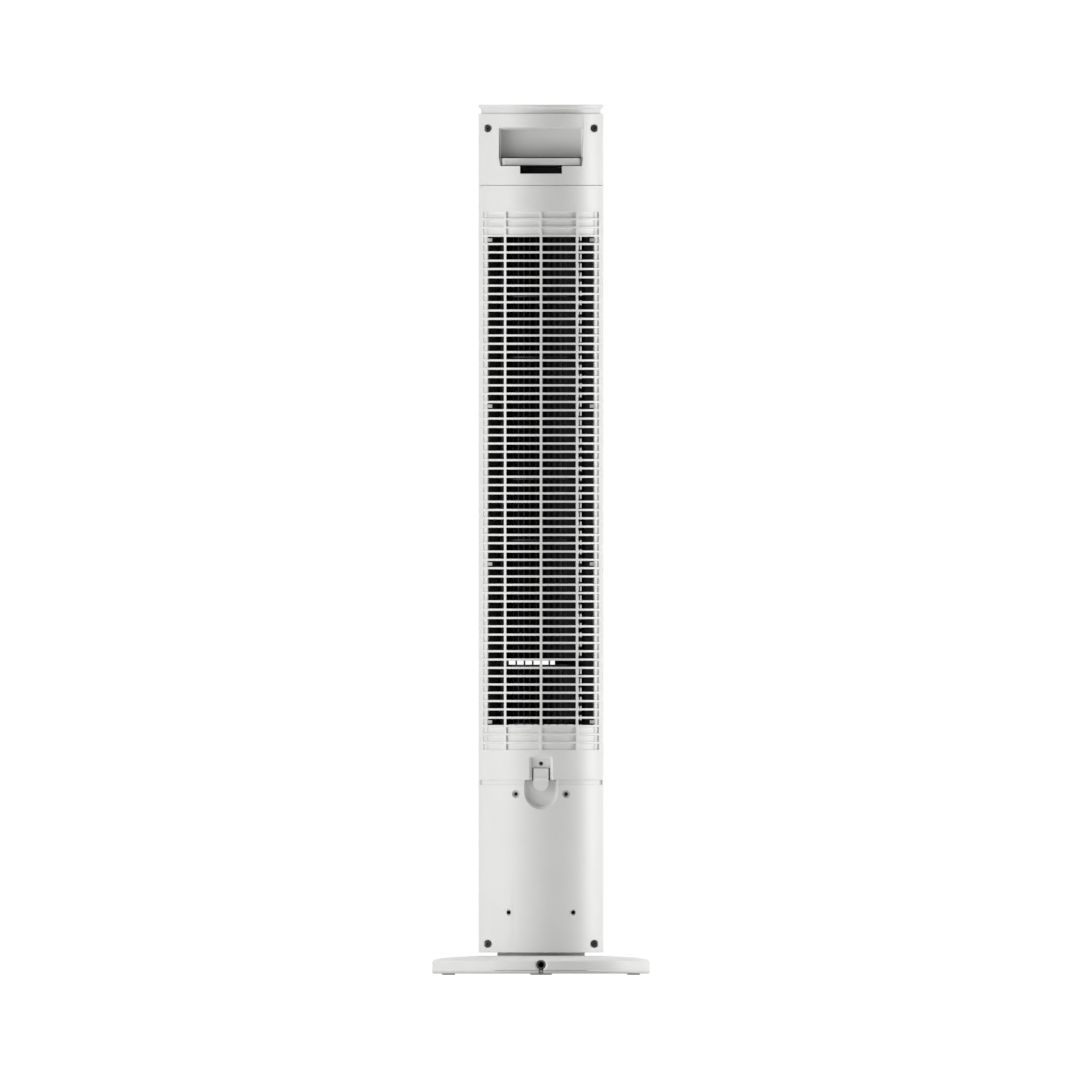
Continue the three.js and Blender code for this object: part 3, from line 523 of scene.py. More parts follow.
# %% Mould the front housing
outlet_x, _, outlet_z = box_mm("front_grille")
lens_x, _, lens_z = box_mm("display_lens")
GAP = 0.3  # mm of air between mouldings that fit into each other
CLOSEST = 0.8  # degrees: an even grid line this near to an exact one is left out
front_z = box_mm("front_housing")[2]


def angle_of(x):
    """The angle from the back, in degrees, at which the column's surface reaches x."""
    return math.degrees(math.asin(x / COLUMN_R))


def with_cuts(values, *cuts):
    """A sorted grid with exact lines at the cuts and no line very close beside them."""
    kept = [v for v in values if all(abs(v - c) > CLOSEST for c in cuts)]
    return sorted(kept + list(cuts))


outlet_a = angle_of(outlet_x[1] + GAP)
lens_a = angle_of(lens_x[1] + GAP)
side_a = SPLIT + 0.24
front_angles = with_cuts(steps(side_a, 360 - side_a, 78), 180 - outlet_a, 180 - lens_a,
                         180 + lens_a, 180 + outlet_a, side_a, 360 - side_a)
front_heights = [front_z[0], outlet_z[0] - GAP, outlet_z[1] + GAP, lens_z[0] - GAP,
                 lens_z[1] + GAP, front_z[1]]


def front_outer(a, z):
    """The skin's radius, or None where a window is."""
    off = abs(a - 180)
    in_outlet = off < outlet_a and outlet_z[0] - GAP < z < outlet_z[1] + GAP
    in_display = off < lens_a and lens_z[0] - GAP < z < lens_z[1] + GAP
    return None if in_outlet or in_display else COLUMN_R


front = curved_wall("front_shell", front_angles, front_heights, front_outer,
                    lambda a, z: INNER_R)
place(round_edges(front, 0.5), abs_white, "column", "white_housing", "front_housing")

# %% [markdown]
# The lower rear housing has a lip at its top, one step back from the surface, that makes the
# dark groove under the grille. A shallow round cup gives a fingertip room under the latch, and
# six screw holes run straight in. Each hole needs a boss first, a solid rod joined to the
# inside of the skin, so that it keeps a wall of its own.

# %% Helpers for screw holes
# Each kind of screw: the hole's radius, then the radius and depth of a wider mouth.
SCREWS = {"upper": (4.6, 0, 0), "middle": (2.4, 4.6, 5.5), "low": (2.5, 3.9, 1.4),
          "bottom": (4.7, 0, 0)}
HEAD_ROOM = 3  # mm from a screw's seat to the outer end of its box in the frame
BOSS_WALL, BOSS_DEPTH, PILOT_R = 1.5, 5, 1.4


def screw_place(name):
    """x, seat (as a y) and z of the left screw of a pair."""
    x, y, z = box_mm(f"screw_{name}_left")
    return (x[0] + x[1]) / 2, y[1] - HEAD_ROOM, (z[0] + z[1]) / 2


def surface_y(x):
    """y of the column's surface at x."""
    return math.sqrt(COLUMN_R ** 2 - x ** 2)


def along_y(r0, r1, y0, y1, x, z, count=40):
    """A cone or rod for cutting, from radius r0 at y0 to r1 at y1."""
    return turned("cutter", [(0, y0), (r0, y0), (r1, y1), (0, y1)], count, (x, z), "Y")


def column_core(less=0.5):
    """The column as a solid, a little inside its skin; it trims what is joined to the skin."""
    return turned("cutter", [(0, 0), (COLUMN_R - less, 0), (COLUMN_R - less, HEIGHT),
                             (0, HEIGHT)], 144)


def add_screw_holes(piece, names):
    """Joins a boss for each screw to a moulding, then cuts the hole, its pilot and its mouth."""
    for name in names:
        hole, mouth, deep = SCREWS[name]
        x0, seat, z = screw_place(name)
        for x in (x0, -x0):
            boss_r = max(hole, mouth) + BOSS_WALL
            boss = along_y(boss_r, boss_r, seat - BOSS_DEPTH, surface_y(x) + 8, x, z)
            combine(boss, [column_core()], "INTERSECT")
            combine(piece, [boss], "UNION")
            cutters = [along_y(hole, hole, seat, 90, x, z, 44),
                       along_y(PILOT_R, PILOT_R, seat - 9, seat + 2, x, z, 28)]
            if mouth:
                floor = surface_y(x) - deep
                cutters.append(along_y(mouth - 0.15, mouth + 0.2, floor, 80, x, z, 52))
            combine(piece, cutters)
    return piece


# %% [markdown]
# The lip is thinner at both ends, which leaves the small dark notches at the groove's ends.
# The cup is a tapered solid cut into a slightly larger one, so it has an even wall.

# %% Mould the lower rear housing
GROOVE_H, LIP_DEPTH, NOTCH_DEPTH = 4.8, 1.0, 2.2
NOTCH_A = angle_of(65.6)
rear_angles = steps(-SPLIT, SPLIT, 64)
groove_z = lower_z[1] - GROOVE_H
lip_z = grille_z[0] - 0.1


def lower_outer(a, z):
    """The skin's radius: full below the groove, and set back along the lip."""
    if z < groove_z:
        return COLUMN_R
    return COLUMN_R - (NOTCH_DEPTH if abs(a) > NOTCH_A else LIP_DEPTH)


lower = curved_wall("lower_rear_shell", with_cuts(rear_angles, -NOTCH_A, NOTCH_A),
                    [lower_z[0], groove_z, lip_z], lower_outer,
                    lambda a, z: INNER_R if z < groove_z else INNER_R - 0.6)
backing = curved_wall("backing", rear_angles, [groove_z - 3, lip_z + 3],
                      lambda a, z: INNER_R - 0.25, lambda a, z: INNER_R - 2)
combine(lower, [backing], "UNION")
CUP_FLOOR, CUP_MOUTH = 15.65, 20.35  # mm: its radius at the floor and at the mouth
CUP_DROP, CUP_DEPTH, CUP_WALL = 8.3, 11.75, 2
cup_z = groove_z - CUP_DROP
cup_y = COLUMN_R - CUP_DEPTH


def scoop(grow, y):
    """The cup as a solid: round below, straight above, and wider at the mouth."""
    ends = []
    for r in (CUP_FLOOR + grow, CUP_MOUTH + grow):
        arc = [polar(r, a) for a in steps(90, 270, 40)]
        ends.append([(dx, cup_z + dz) for dx, dz in arc] + [(-r, lip_z + 4), (r, lip_z + 4)])
    return tapered("cutter", ends[0], y[0], ends[1], y[1])


bowl = scoop(CUP_WALL, (cup_y - CUP_WALL, COLUMN_R + 0.25))
combine(bowl, [column_core(1.0), block((-60, 60), (0, 95), (0, lip_z))], "INTERSECT")
combine(lower, [bowl], "UNION")
add_screw_holes(lower, ("middle", "low", "bottom"))
combine(lower, [scoop(0, (cup_y, COLUMN_R + 0.25))])
place(round_edges(lower, 0.35), abs_white, "column", "white_housing", "lower_rear_housing")

# %% [markdown]
# ## Rear grille
# Air enters through 59 open rows of slots, with three closed rows above and below that carry
# the pattern on. Three upright ribs stiffen the rows. The last few millimetres of each slot
# are closed, so a lit flank shows at its ends. The whole grille is one stepped wall: open
# slots are holes, closed rows are steps, and the walls of each slot run straight back, as a
# mould has to open.

# %% Mould the rear grille
ROW_PITCH, SLOT_H, RIB_W, RIB_X = 9.55, 7.15, 2.8, 41.3  # mm; RIB_X is to a rib's middle
BLIND_ROWS, BLIND_DEPTH, FLANK_DEPTH = 3, 2.4, 1.9
THICKER = 1.7  # mm of extra wall behind the rows that are closed
BELOW, ABOVE = 66.8, 62.9  # mm from the grille's edges to the open rows nearest to them
OPEN_X, SLOT_X = 61.3, COLUMN_R - 5.05  # where a slot stops being open, and where it ends
first_row = grille_z[0] + BELOW
open_rows = int((upper_z[0] - ABOVE - first_row) / ROW_PITCH) + 1
slot_end = angle_of(SLOT_X)
open_end = angle_of(OPEN_X)
rib_lines = [angle_of(x) for x in (RIB_W / 2, RIB_X - RIB_W / 2, RIB_X + RIB_W / 2)]
rib_lines += [open_end, slot_end]
grille_angles = with_cuts(steps(-SPLIT, SPLIT, 54), *rib_lines, *[-a for a in rib_lines])
row_z = [first_row + ROW_PITCH * i for i in range(-BLIND_ROWS, open_rows + BLIND_ROWS)]
row_lines = [z + side * SLOT_H / 2 for z in row_z for side in (-1, 1)]


def grille_outer(a, z):
    """The grille's radius: full on bars and ribs, set back in closed slots, None in open ones."""
    off = abs(a)
    row = round((z - first_row) / ROW_PITCH)
    in_row = abs(z - first_row - row * ROW_PITCH) < SLOT_H / 2
    in_row = in_row and -BLIND_ROWS <= row < open_rows + BLIND_ROWS
    on_rib = off < rib_lines[0] or rib_lines[1] < off < rib_lines[2] or off > slot_end
    if not in_row or on_rib:
        return COLUMN_R
    if off > open_end:
        return COLUMN_R - FLANK_DEPTH
    return None if 0 <= row < open_rows else COLUMN_R - BLIND_DEPTH


def grille_inner(a, z):
    """The inside radius, smaller where a closed slot needs more wall behind it."""
    row = round((z - first_row) / ROW_PITCH)
    return INNER_R if 0 <= row < open_rows and abs(a) < open_end else INNER_R - THICKER


grille = curved_wall("intake_grille", grille_angles, [grille_z[0], *row_lines,
                                                     upper_z[0] - 0.5],
                     grille_outer, grille_inner, OPEN_X + 0.1)
print("grille rows:", open_rows, "open of", len(row_z))

# %% [markdown]
# The latch sits in the middle of the grille's lower edge. A sloped pocket holds its screw, and
# the tongue hangs between two slits. Small snap hooks show as light marks inside the outer
# slots at four of the rows.

# %% Cut the latch pocket and add the snap hooks
HOOK_ROWS, HOOK_A, HOOK_R = 4, 62.5, COLUMN_R - 2.05
POCKET_H, POCKET_DEPTH, POCKET_SIDE, SLOPE = 29, 4.55, 2.3, 3.8
SLIT_W, LATCH_HOLE_R = 1.4, 2.45
tongue_x, tongue_y, tongue_z = box_mm("latch_tongue")
screw_y, screw_z = box_mm("latch_screw")[1:]
latch_screw_z = (screw_z[0] + screw_z[1]) / 2
pocket_top = grille_z[0] + POCKET_H
pocket_floor = COLUMN_R - POCKET_DEPTH
pocket_x = tongue_x[1] + POCKET_SIDE
liner = block((-pocket_x - 5, pocket_x + 5), (pocket_floor - 4.4, COLUMN_R + 3),
              (grille_z[0], pocket_top + 3))
combine(liner, [column_core(0.6)], "INTERSECT")
combine(grille, [liner], "UNION")
slit_x = tongue_x[1] + SLIT_W
combine(grille, [
    tapered("cutter",
            rounded_outline((-pocket_x, pocket_x), (grille_z[0] - 9, pocket_top - 4), 2.5),
            pocket_floor,
            rounded_outline((-pocket_x - SLOPE, pocket_x + SLOPE), (grille_z[0] - 9, pocket_top), 5),
            COLUMN_R + 0.3),
    block((-pocket_x + 0.3, pocket_x - 0.3), (pocket_floor - 2.4, 80),
          (tongue_z[1] + 0.4, pocket_top - 4.4)),
    block((-slit_x, slit_x), (40, 95), (grille_z[0] - 20, tongue_z[1] + 0.4)),
    along_y(LATCH_HOLE_R, LATCH_HOLE_R, 40, 90, 0, latch_screw_z)])
hook_x, hook_y = polar(HOOK_R, HOOK_A)
for k in range(HOOK_ROWS):
    z = first_row + ROW_PITCH * int((open_rows - 1) * k / (HOOK_ROWS - 1))
    for side in (-1, 1):
        hook = sorted((side * (hook_x - 5.8), side * (hook_x + 0.6)))
        combine(grille, [block(hook, (hook_y - 0.8, hook_y + 2.2), (z - 2, z + 2))], "UNION")
place(round_edges(grille, 0.3), abs_white, "grille", "white_housing", "rear_grille")

# %% [markdown]
# The tongue is a strap with a round end. A ledge across it gives the fingertip something to
# press against. Its outline is drawn flat and pushed through its thickness, and then two
# cuts leave the ledge standing.

# %% Mould the latch tongue
LEDGE_Z = (groove_z + 5.4, groove_z + 8.4)
tongue_mid = tongue_z[0] + tongue_x[1]
outline = [(tongue_x[0], tongue_z[1]), (tongue_x[1], tongue_z[1])]
for a in steps(90, 270, 28):
    dx, dz = polar(tongue_x[1], a)
    outline.append((dx, tongue_mid + dz))
tongue = pushed("release_tongue", outline, *tongue_y, "Y")
combine(tongue, [
    block((tongue_x[0] - 1, tongue_x[1] + 1), (tongue_y[1] - 1.7, 80),
          (LEDGE_Z[1], tongue_z[1] + 1)),
    block((tongue_x[0] - 1, tongue_x[1] + 1), (tongue_y[1] - 1, 80),
          (tongue_z[0] - 1, LEDGE_Z[0]))])
place(round_edges(tongue, 0.35), abs_white, "latch", "white_housing", "latch_tongue")

# %% [markdown]
# ## Upper rear housing
# The carry recess is a deep pocket with drafted walls, so that the mould can pull out of it.
# Just under it a slot holds the remote control on its edge, and a notch below lets a
# fingertip push it out. Each pocket is a solid block joined to the skin and then hollowed.

# %% Mould the skin of the upper rear housing
upper = curved_wall("upper_rear_shell", rear_angles, list(upper_z),
                    lambda a, z: COLUMN_R, lambda a, z: INNER_R)
backing = curved_wall("backing", rear_angles, [upper_z[0] - 3, upper_z[0] + 4],
                      lambda a, z: INNER_R - 2.0, lambda a, z: INNER_R - 3.6)
bridge = curved_wall("bridge", rear_angles, [upper_z[0] + 1, upper_z[0] + 4],
                     lambda a, z: INNER_R + 0.5, lambda a, z: INNER_R - 3)
combine(upper, [backing, bridge], "UNION")
print("upper skin:", len(upper.data.polygons), "faces, with a lip that goes behind the grille")

# %% [markdown]
# The carry recess narrows in one step at about half its depth. Three cutters make it: the
# deep part, the wide mouth, and a tapered one between them.

# %% Hollow the carry recess and the slots
remote_x, remote_y, remote_z = box_mm("remote_body")
REMOTE_GAP = 0.8
HANDLE_X, NOTCH_X = 48.5, 24.0  # mm: half the width of the recess and of the notch
HANDLE_DROP, HANDLE_DEPTH = 15.8, 33.75
NOTCH_RISE, NOTCH_DEEP = 13.1, 27.75
POCKET_WALL, DRAFT = 2, 2.4
STEP_Y = (50.5, 53.4)  # between these two depths the recess widens by DRAFT
handle_z = (remote_z[1] + REMOTE_GAP, upper_z[1] - HANDLE_DROP)
handle_y = COLUMN_R - HANDLE_DEPTH
notch_z = (upper_z[0] + NOTCH_RISE, remote_z[0] - 0.6)
notch_y = COLUMN_R - NOTCH_DEEP
slot_x = remote_x[1] + REMOTE_GAP
slot_z = (remote_z[0] - REMOTE_GAP, remote_z[1] + REMOTE_GAP)
SLEEVE_Y = remote_y[1] - 2
for half_x, back_y, z in ((HANDLE_X, handle_y, handle_z), (slot_x, SLEEVE_Y + 2, slot_z)):
    walls = block((-half_x - POCKET_WALL, half_x + POCKET_WALL), (back_y - POCKET_WALL, 90),
                  (z[0] - POCKET_WALL, z[1] + POCKET_WALL))
    combine(walls, [column_core()], "INTERSECT")
    combine(upper, [walls], "UNION")
add_screw_holes(upper, ("upper",))
combine(upper, [
    block((-HANDLE_X + DRAFT, HANDLE_X - DRAFT), (handle_y, STEP_Y[1] + 0.1),
          (handle_z[0] - 0.2, handle_z[1] - DRAFT)),
    block((-HANDLE_X + DRAFT, HANDLE_X - DRAFT), STEP_Y,
          (handle_z[0] + 2.3, handle_z[1] - DRAFT), DRAFT),
    block((-HANDLE_X, HANDLE_X), (STEP_Y[1] - 0.2, 90), handle_z),
    block((-slot_x, slot_x), (remote_y[0] - REMOTE_GAP, 90), slot_z),
    block((-NOTCH_X, NOTCH_X), (notch_y, 90), notch_z)])
place(round_edges(upper, 0.3), abs_white, "column", "white_housing", "upper_rear_housing")

# %% [markdown]
# Behind the remote the slot and the notch run into a black sleeve, a separate moulding. It is
# why the gap round the remote and the notch look black although the housing is white.

# %% Mould the black sleeve
SLEEVE_WALL = 1.5
sleeve = block((-slot_x - SLEEVE_WALL, slot_x + SLEEVE_WALL),
               (remote_y[0] - REMOTE_GAP - SLEEVE_WALL, SLEEVE_Y - 0.1),
               (slot_z[0] - SLEEVE_WALL, slot_z[1] - 0.1))
nook = block((-NOTCH_X - SLEEVE_WALL, NOTCH_X + SLEEVE_WALL), (notch_y - SLEEVE_WALL, COLUMN_R),
             (notch_z[0] - SLEEVE_WALL, slot_z[0] - 2.1))
combine(sleeve, [nook], "UNION")
combine(sleeve, [column_core(WALL + 0.1)], "INTERSECT")
combine(sleeve, [block((-slot_x, slot_x), (remote_y[0] - REMOTE_GAP, 90), slot_z),
                 block((-NOTCH_X, NOTCH_X), (notch_y, 90), notch_z)])
sleeve.name = "remote_sleeve"
place(round_edges(sleeve, 0), polypropylene_duct, "column", "black_plastic")

# %% [markdown]
# ## Top cap and buttons
# The cap overhangs a groove, which gives the column a crisp shadow line. Its top is the
# control panel: five round keys set flush, each slightly dished so a finger finds it.

# %% Turn the cap and its keys
KEY_FLANGE = 1.2  # mm: a key's flange under the panel keeps it from falling out
cap_r = box_mm("top_cap")[0][1]
cap_z = box_mm("top_cap")[2][0]
# The profile starts under the panel, goes down the skirt, then up over the rim to the middle.
cap = turned("top_panel", [
    (0, HEIGHT - 3.7), (cap_r - 5.9, HEIGHT - 3.7), (cap_r - 5.9, cap_z - 3),
    (cap_r - 3, cap_z - 3),
    (cap_r - 3, HEIGHT - 5.2), (cap_r - 2.2, HEIGHT - 4.5), (cap_r - 1.3, HEIGHT - 4.3),
    (cap_r - 0.3, HEIGHT - 3.3), (cap_r, HEIGHT - 2.4), (cap_r, HEIGHT - 0.5),
    (cap_r - 0.5, HEIGHT), (cap_r - 6, HEIGHT), (cap_r - 6.6, HEIGHT - 0.5), (0, HEIGHT - 0.5)],
    160)
for key in ("power", "speed", "mode", "timer", "swing"):
    x, y, z = box_mm("button_" + key)
    at = ((x[0] + x[1]) / 2, (y[0] + y[1]) / 2)
    key_r = (x[1] - x[0]) / 2 - KEY_FLANGE
    combine(cap, [turned("cutter", [(0, HEIGHT - 10), (key_r + GAP, HEIGHT - 10),
                                    (key_r + GAP, HEIGHT + 2), (0, HEIGHT + 2)], 48, at)])
    top = z[1] - 0.3
    button = turned("key_" + key, [
        (0, z[0]), (key_r + KEY_FLANGE, z[0]), (key_r + KEY_FLANGE, z[0] + 2), (key_r, z[0] + 2),
        (key_r, top - 0.5), (key_r - 0.5, top), (key_r - 1.4, top), (key_r - 2.6, top - 0.35),
        (2.5, top - 0.7), (0, top - 0.72)], 56, at)
    place(round_edges(button, 0), abs_button, "button_" + key, "button_plastic",
          "button_" + key)
place(round_edges(cap, 0.25), abs_white, "column", "white_housing", "top_cap")

# %% [markdown]
# ## Front grille and display
# Air leaves through a grid that follows the curve of the column: upright bars crossed by flat
# rails. The same stepped wall maker does it, since bars and rails are what is left between
# the holes.

# %% Mould the outlet grille
BAR_PITCH, BAR_W, RAIL_PITCH, RAIL_GAP = 9.5, 2.0, 10.6, 5.4
FRAME_LOW, FRAME_HIGH = 6.7, 5  # mm of solid edge below and above the rails
BAR_LIMIT = 47.5  # mm: no bar edge lies further from the middle than this
WIDEST_BAR = 3  # degrees: grid lines further apart than this have an opening between them
STRAIGHT_TO = 60  # mm: within this distance of the middle the bars' sides run straight back
bar_lines = []
for k in range(-5, 6):
    for side in (-1, 1):
        x = k * BAR_PITCH + side * BAR_W / 2
        if abs(x) < BAR_LIMIT:
            bar_lines.append(180 + angle_of(x))
bar_lines.sort()
slots = [pair for pair in zip(bar_lines, bar_lines[1:]) if pair[1] - pair[0] > WIDEST_BAR]
edge_a = angle_of(outlet_x[1])
front_rows = []
z = outlet_z[0] + FRAME_LOW
while z + RAIL_GAP < outlet_z[1] - FRAME_HIGH:
    front_rows.append((z, z + RAIL_GAP))
    z += RAIL_PITCH


def outlet_outer(a, z):
    """The outlet's radius, or None in an opening."""
    open_here = any(lo < a < hi for lo, hi in slots) and any(lo < z < hi for lo, hi in front_rows)
    return None if open_here else COLUMN_R - GAP


outlet_angles = with_cuts(steps(180 - edge_a, 180 + edge_a, 38), *bar_lines, 180 - edge_a,
                          180 + edge_a)
outlet = curved_wall("outlet_grille", outlet_angles,
                     [outlet_z[0], *[z for row in front_rows for z in row], outlet_z[1]],
                     outlet_outer, lambda a, z: COLUMN_R - 3, STRAIGHT_TO)
place(round_edges(outlet, 0.35), abs_pale, "column", "pale_grey_plastic", "front_grille")

# %% [markdown]
# The display window is a curved pane of smoked acrylic, set a hair below the surface. What
# glows behind it shows only when the fan is on, so from outside it is plain black.

# %% Mould the display window
lens_edge = angle_of(lens_x[1])
lens = curved_wall("display_window", steps(180 - lens_edge, 180 + lens_edge, 14), list(lens_z),
                   lambda a, z: COLUMN_R - 0.4, lambda a, z: INNER_R)
place(round_edges(lens, 0.3), acrylic, "column", "display_lens", "display_lens")

# %% [markdown]
# ## Impeller
# A cross-flow impeller is a long drum of thin curved blades held by rings. It shows through
# the slots only as faint upright glints, so the blades need their real curve and count. Each
# blade is an arc swept along the axis; the discs at the ends carry the shafts.

# %% Helpers for the impellers
BLADES, BLADE_T, RING_T = 36, 0.9, 1.5
FIRST_BLADE = -12.9  # degrees
BLADE_SWEEP, BLADE_CHORDS = 11, 5  # degrees from its outer to its inner edge, in 5 chords
EDGE_GAP = 0.8  # mm between a blade's edges and those of the rings
RING_W = 9.5
impeller_r = box_mm("impeller_upper")[0][1]
ring_in = impeller_r - RING_W


def blade_outline(turn):
    """A curved blade from the inner edge to the outer one, as it looks from above."""
    front_side, back_side = [], []
    for k in range(BLADE_CHORDS + 1):
        share = k / BLADE_CHORDS
        r = ring_in + EDGE_GAP + share * (impeller_r - 2 * EDGE_GAP - ring_in)
        a = turn + BLADE_SWEEP * (1 - share) ** 1.6
        half = math.degrees(BLADE_T / 2 / r) * (0.7 + 0.6 * math.sin(math.pi * share))
        front_side.append(polar(r, a - half))
        back_side.append(polar(r, a + half))
    return front_side + back_side[::-1]


def impeller(name, z, ring_heights, solid_ends, hubs):
    """A drum of blades with rings between its bays, and a disc with a hub at each end."""
    points, faces = [], []

    def add_prism(outline, low, high):
        start, n = len(points), len(outline)
        points.extend((*p, low) for p in outline)
        points.extend((*p, high) for p in outline)
        faces.extend([list(range(start, start + n)), list(range(start + n, start + 2 * n))])
        faces.extend([start + k, start + (k + 1) % n, start + n + (k + 1) % n, start + n + k]
                     for k in range(n))

    def add_ring(r0, r1, low, high, count=70):
        start = len(points)
        for r, h in ((r0, low), (r1, low), (r1, high), (r0, high)):
            points.extend((*polar(r, 360 * k / count), h) for k in range(count))
        for ring in range(4):
            for k in range(count):
                a, b = start + ring * count, start + (ring + 1) % 4 * count
                faces.append([a + k, a + (k + 1) % count, b + (k + 1) % count, b + k])

    for k in range(BLADES):
        add_prism(blade_outline(FIRST_BLADE + 360 * k / BLADES), z[0] + RING_T / 2,
                  z[1] - RING_T / 2)
    for height in ring_heights:
        add_ring(ring_in, impeller_r, height, height + RING_T)
    for (r_hole, height), (r_hub, low, high) in zip(solid_ends, hubs):
        add_ring(r_hole, impeller_r, height, height + RING_T)
        add_ring(r_hole, r_hub, low, high, 36)
    drum = mesh_object(name, points, faces)
    drum.data.polygons.foreach_set("use_smooth", [True] * len(drum.data.polygons))
    drum.data.set_sharp_from_angle(angle=math.radians(30))
    return drum


# %% [markdown]
# The lower drum is one short bay on the motor shaft. The upper one has several bays, because
# blades this thin would flutter if they ran the whole height without a ring.

# %% Build the two impellers
SHAFT_HOLE, PIN_HOLE, STUB_HOLE = 4.3, 1.65, 3.3
SECTION = 70  # mm between rings
low_z = box_mm("impeller_lower")[2]
high_z = box_mm("impeller_upper")[2]
bays = round((high_z[1] - high_z[0]) / SECTION)
lower_drum = impeller("impeller_drum_lower", low_z, [],
                      [(SHAFT_HOLE, low_z[0]), (PIN_HOLE, low_z[1] - RING_T)],
                      [(9, low_z[0], low_z[0] + 14), (6, low_z[1] - 6, low_z[1])])
upper_drum = impeller("impeller_drum_upper", high_z,
                      [high_z[0] - 2 + SECTION * i for i in range(1, bays)],
                      [(PIN_HOLE, high_z[0]), (STUB_HOLE, high_z[1] - RING_T)],
                      [(6, high_z[0], high_z[0] + 6), (8, high_z[1] - 10, high_z[1])])
place(lower_drum, polypropylene, "rotor", "black_plastic", "impeller_lower")
place(upper_drum, polypropylene, "rotor", "black_plastic", "impeller_upper")

# %% [markdown]
# ## Screws
# Every screw is a pan-head with a cross recess and a deep centre hole, blackened so that it
# disappears in its hole. One maker turns them all, and thin blocks cut the cross. A bigger
# screw is the same shape scaled up, so its sizes are shares of the head's radius.

# %% Turn the screws
CROSS = 0.42  # mm: half the width of the cross's arms
HEAD_BIG, HEAD_SMALL = 2.7, 1.6  # mm: how high a head of more or less than 3 mm radius is


def screw(name, x, z, seat, head_r, length, body, node):
    """A screw along Y whose head rests on its seat."""
    head = HEAD_BIG if head_r > 3 else HEAD_SMALL
    made = turned(name, [
        (0, seat - length), (head_r * 0.32, seat - length + 1), (head_r * 0.45, seat - length + 2.5),
        (head_r * 0.45, seat + 0.3), (head_r, seat + 0.3), (head_r, seat + 1.1),
        (head_r * 0.86, seat + head * 0.8), (head_r * 0.5, seat + head), (0, seat + head)],
        32, (x, z), "Y")
    arm = head_r * 0.5
    drill = head_r * 0.42
    socket = turned("cutter", [(0, seat - 3), (drill, seat - 2.4), (drill, seat + 5),
                               (0, seat + 5)], 20, (x, z), "Y")
    deep = (seat + 1.5, seat + 5)
    combine(made, [socket, block((x - arm, x + arm), deep, (z - CROSS, z + CROSS)),
                   block((x - CROSS, x + CROSS), deep, (z - arm, z + arm))])
    place(round_edges(made, 0.08, 1), steel_black, body, "screw_steel", node)


for name in SCREWS:
    x0, seat, z = screw_place(name)
    across = box_mm(f"screw_{name}_left")[0]
    head_r = (across[1] - across[0]) / 2
    for side, x in (("left", x0), ("right", -x0)):
        screw(f"pan_screw_{name}_{side}", x, z, seat, head_r, 14, "column",
              f"screw_{name}_{side}")
screw("pan_screw_latch", 0, latch_screw_z, screw_y[1] - HEAD_ROOM, 2.1, 10, "grille", "latch_screw")

# %% [markdown]
# ## Remote control
# The remote lies in its slot with one long edge outwards, so from behind it is a smooth pale
# bar with rounded ends. It still gets its keys and battery lid, because it slides out.

# %% Build the remote control's case
remote = pushed("remote_case", rounded_outline(remote_x, remote_y, 4), *remote_z)
key_x, key_y, key_z = box_mm("remote_keypad")
lid_x, lid_y, lid_z = box_mm("remote_battery_cover")
recess = pushed("cutter", rounded_outline((key_x[0] - 0.4, key_x[1] + 0.4),
                                          (key_y[0] - 0.4, key_y[1] + 0.4), 3),
                remote_z[1] - 0.9, remote_z[1] + 2)
lid_hole = pushed("cutter", rounded_outline((lid_x[0] - 0.3, lid_x[1] + 0.3),
                                            (lid_y[0] - 0.3, lid_y[1] + 0.3), 1),
                  remote_z[0] - 2, remote_z[0] + 1.4)
combine(remote, [recess, lid_hole])
place(round_edges(remote, 0.9, 4), abs_remote_painted_light, "remote", "remote_shell", "remote_body")

# %% [markdown]
# The keys are dots standing on one thin silicone sheet, as they are moulded. The battery lid
# closes the other face, with a few grooves where a thumb pushes it.

# %% Build its keys and battery lid
DOT_R, DOT_TOP_R = 3.6, 3.2
sheet = pushed("remote_keys", rounded_outline(key_x, key_y, 2.6), key_z[0], key_z[0] + 0.3)
for kx in steps(-26, 26, 4):
    for ky in (remote_y[0] + 14, remote_y[1] - 14):
        dot = turned("cutter", [
            (0, key_z[0] + 0.1), (DOT_R, key_z[0] + 0.1), (DOT_R, key_z[1] - 0.1),
            (DOT_TOP_R, key_z[1]), (0, key_z[1])], 28, (kx, ky))
        combine(sheet, [dot], "UNION")
place(round_edges(sheet, 0), silicone, "remote", "keypad_rubber", "remote_keypad")
lid = pushed("remote_lid", rounded_outline(lid_x, lid_y, 0.8), lid_z[0], lid_z[1])
grips = [block((lid_x[0] + 4, lid_x[1] - 4), (y, y + 0.7), (lid_z[0] - 1, lid_z[0] + 0.35))
         for y in steps(lid_y[1] - 8, lid_y[1] - 3, 3)]
combine(lid, grips)
place(round_edges(lid, 0.12, 1), abs_pale, "remote", "remote_shell", "remote_battery_cover")

# %% [markdown]
# Air would leak back past the drum where it runs close to the duct, so a slim guide vane
# stands in front of that gap, held by the duct's two end plates.

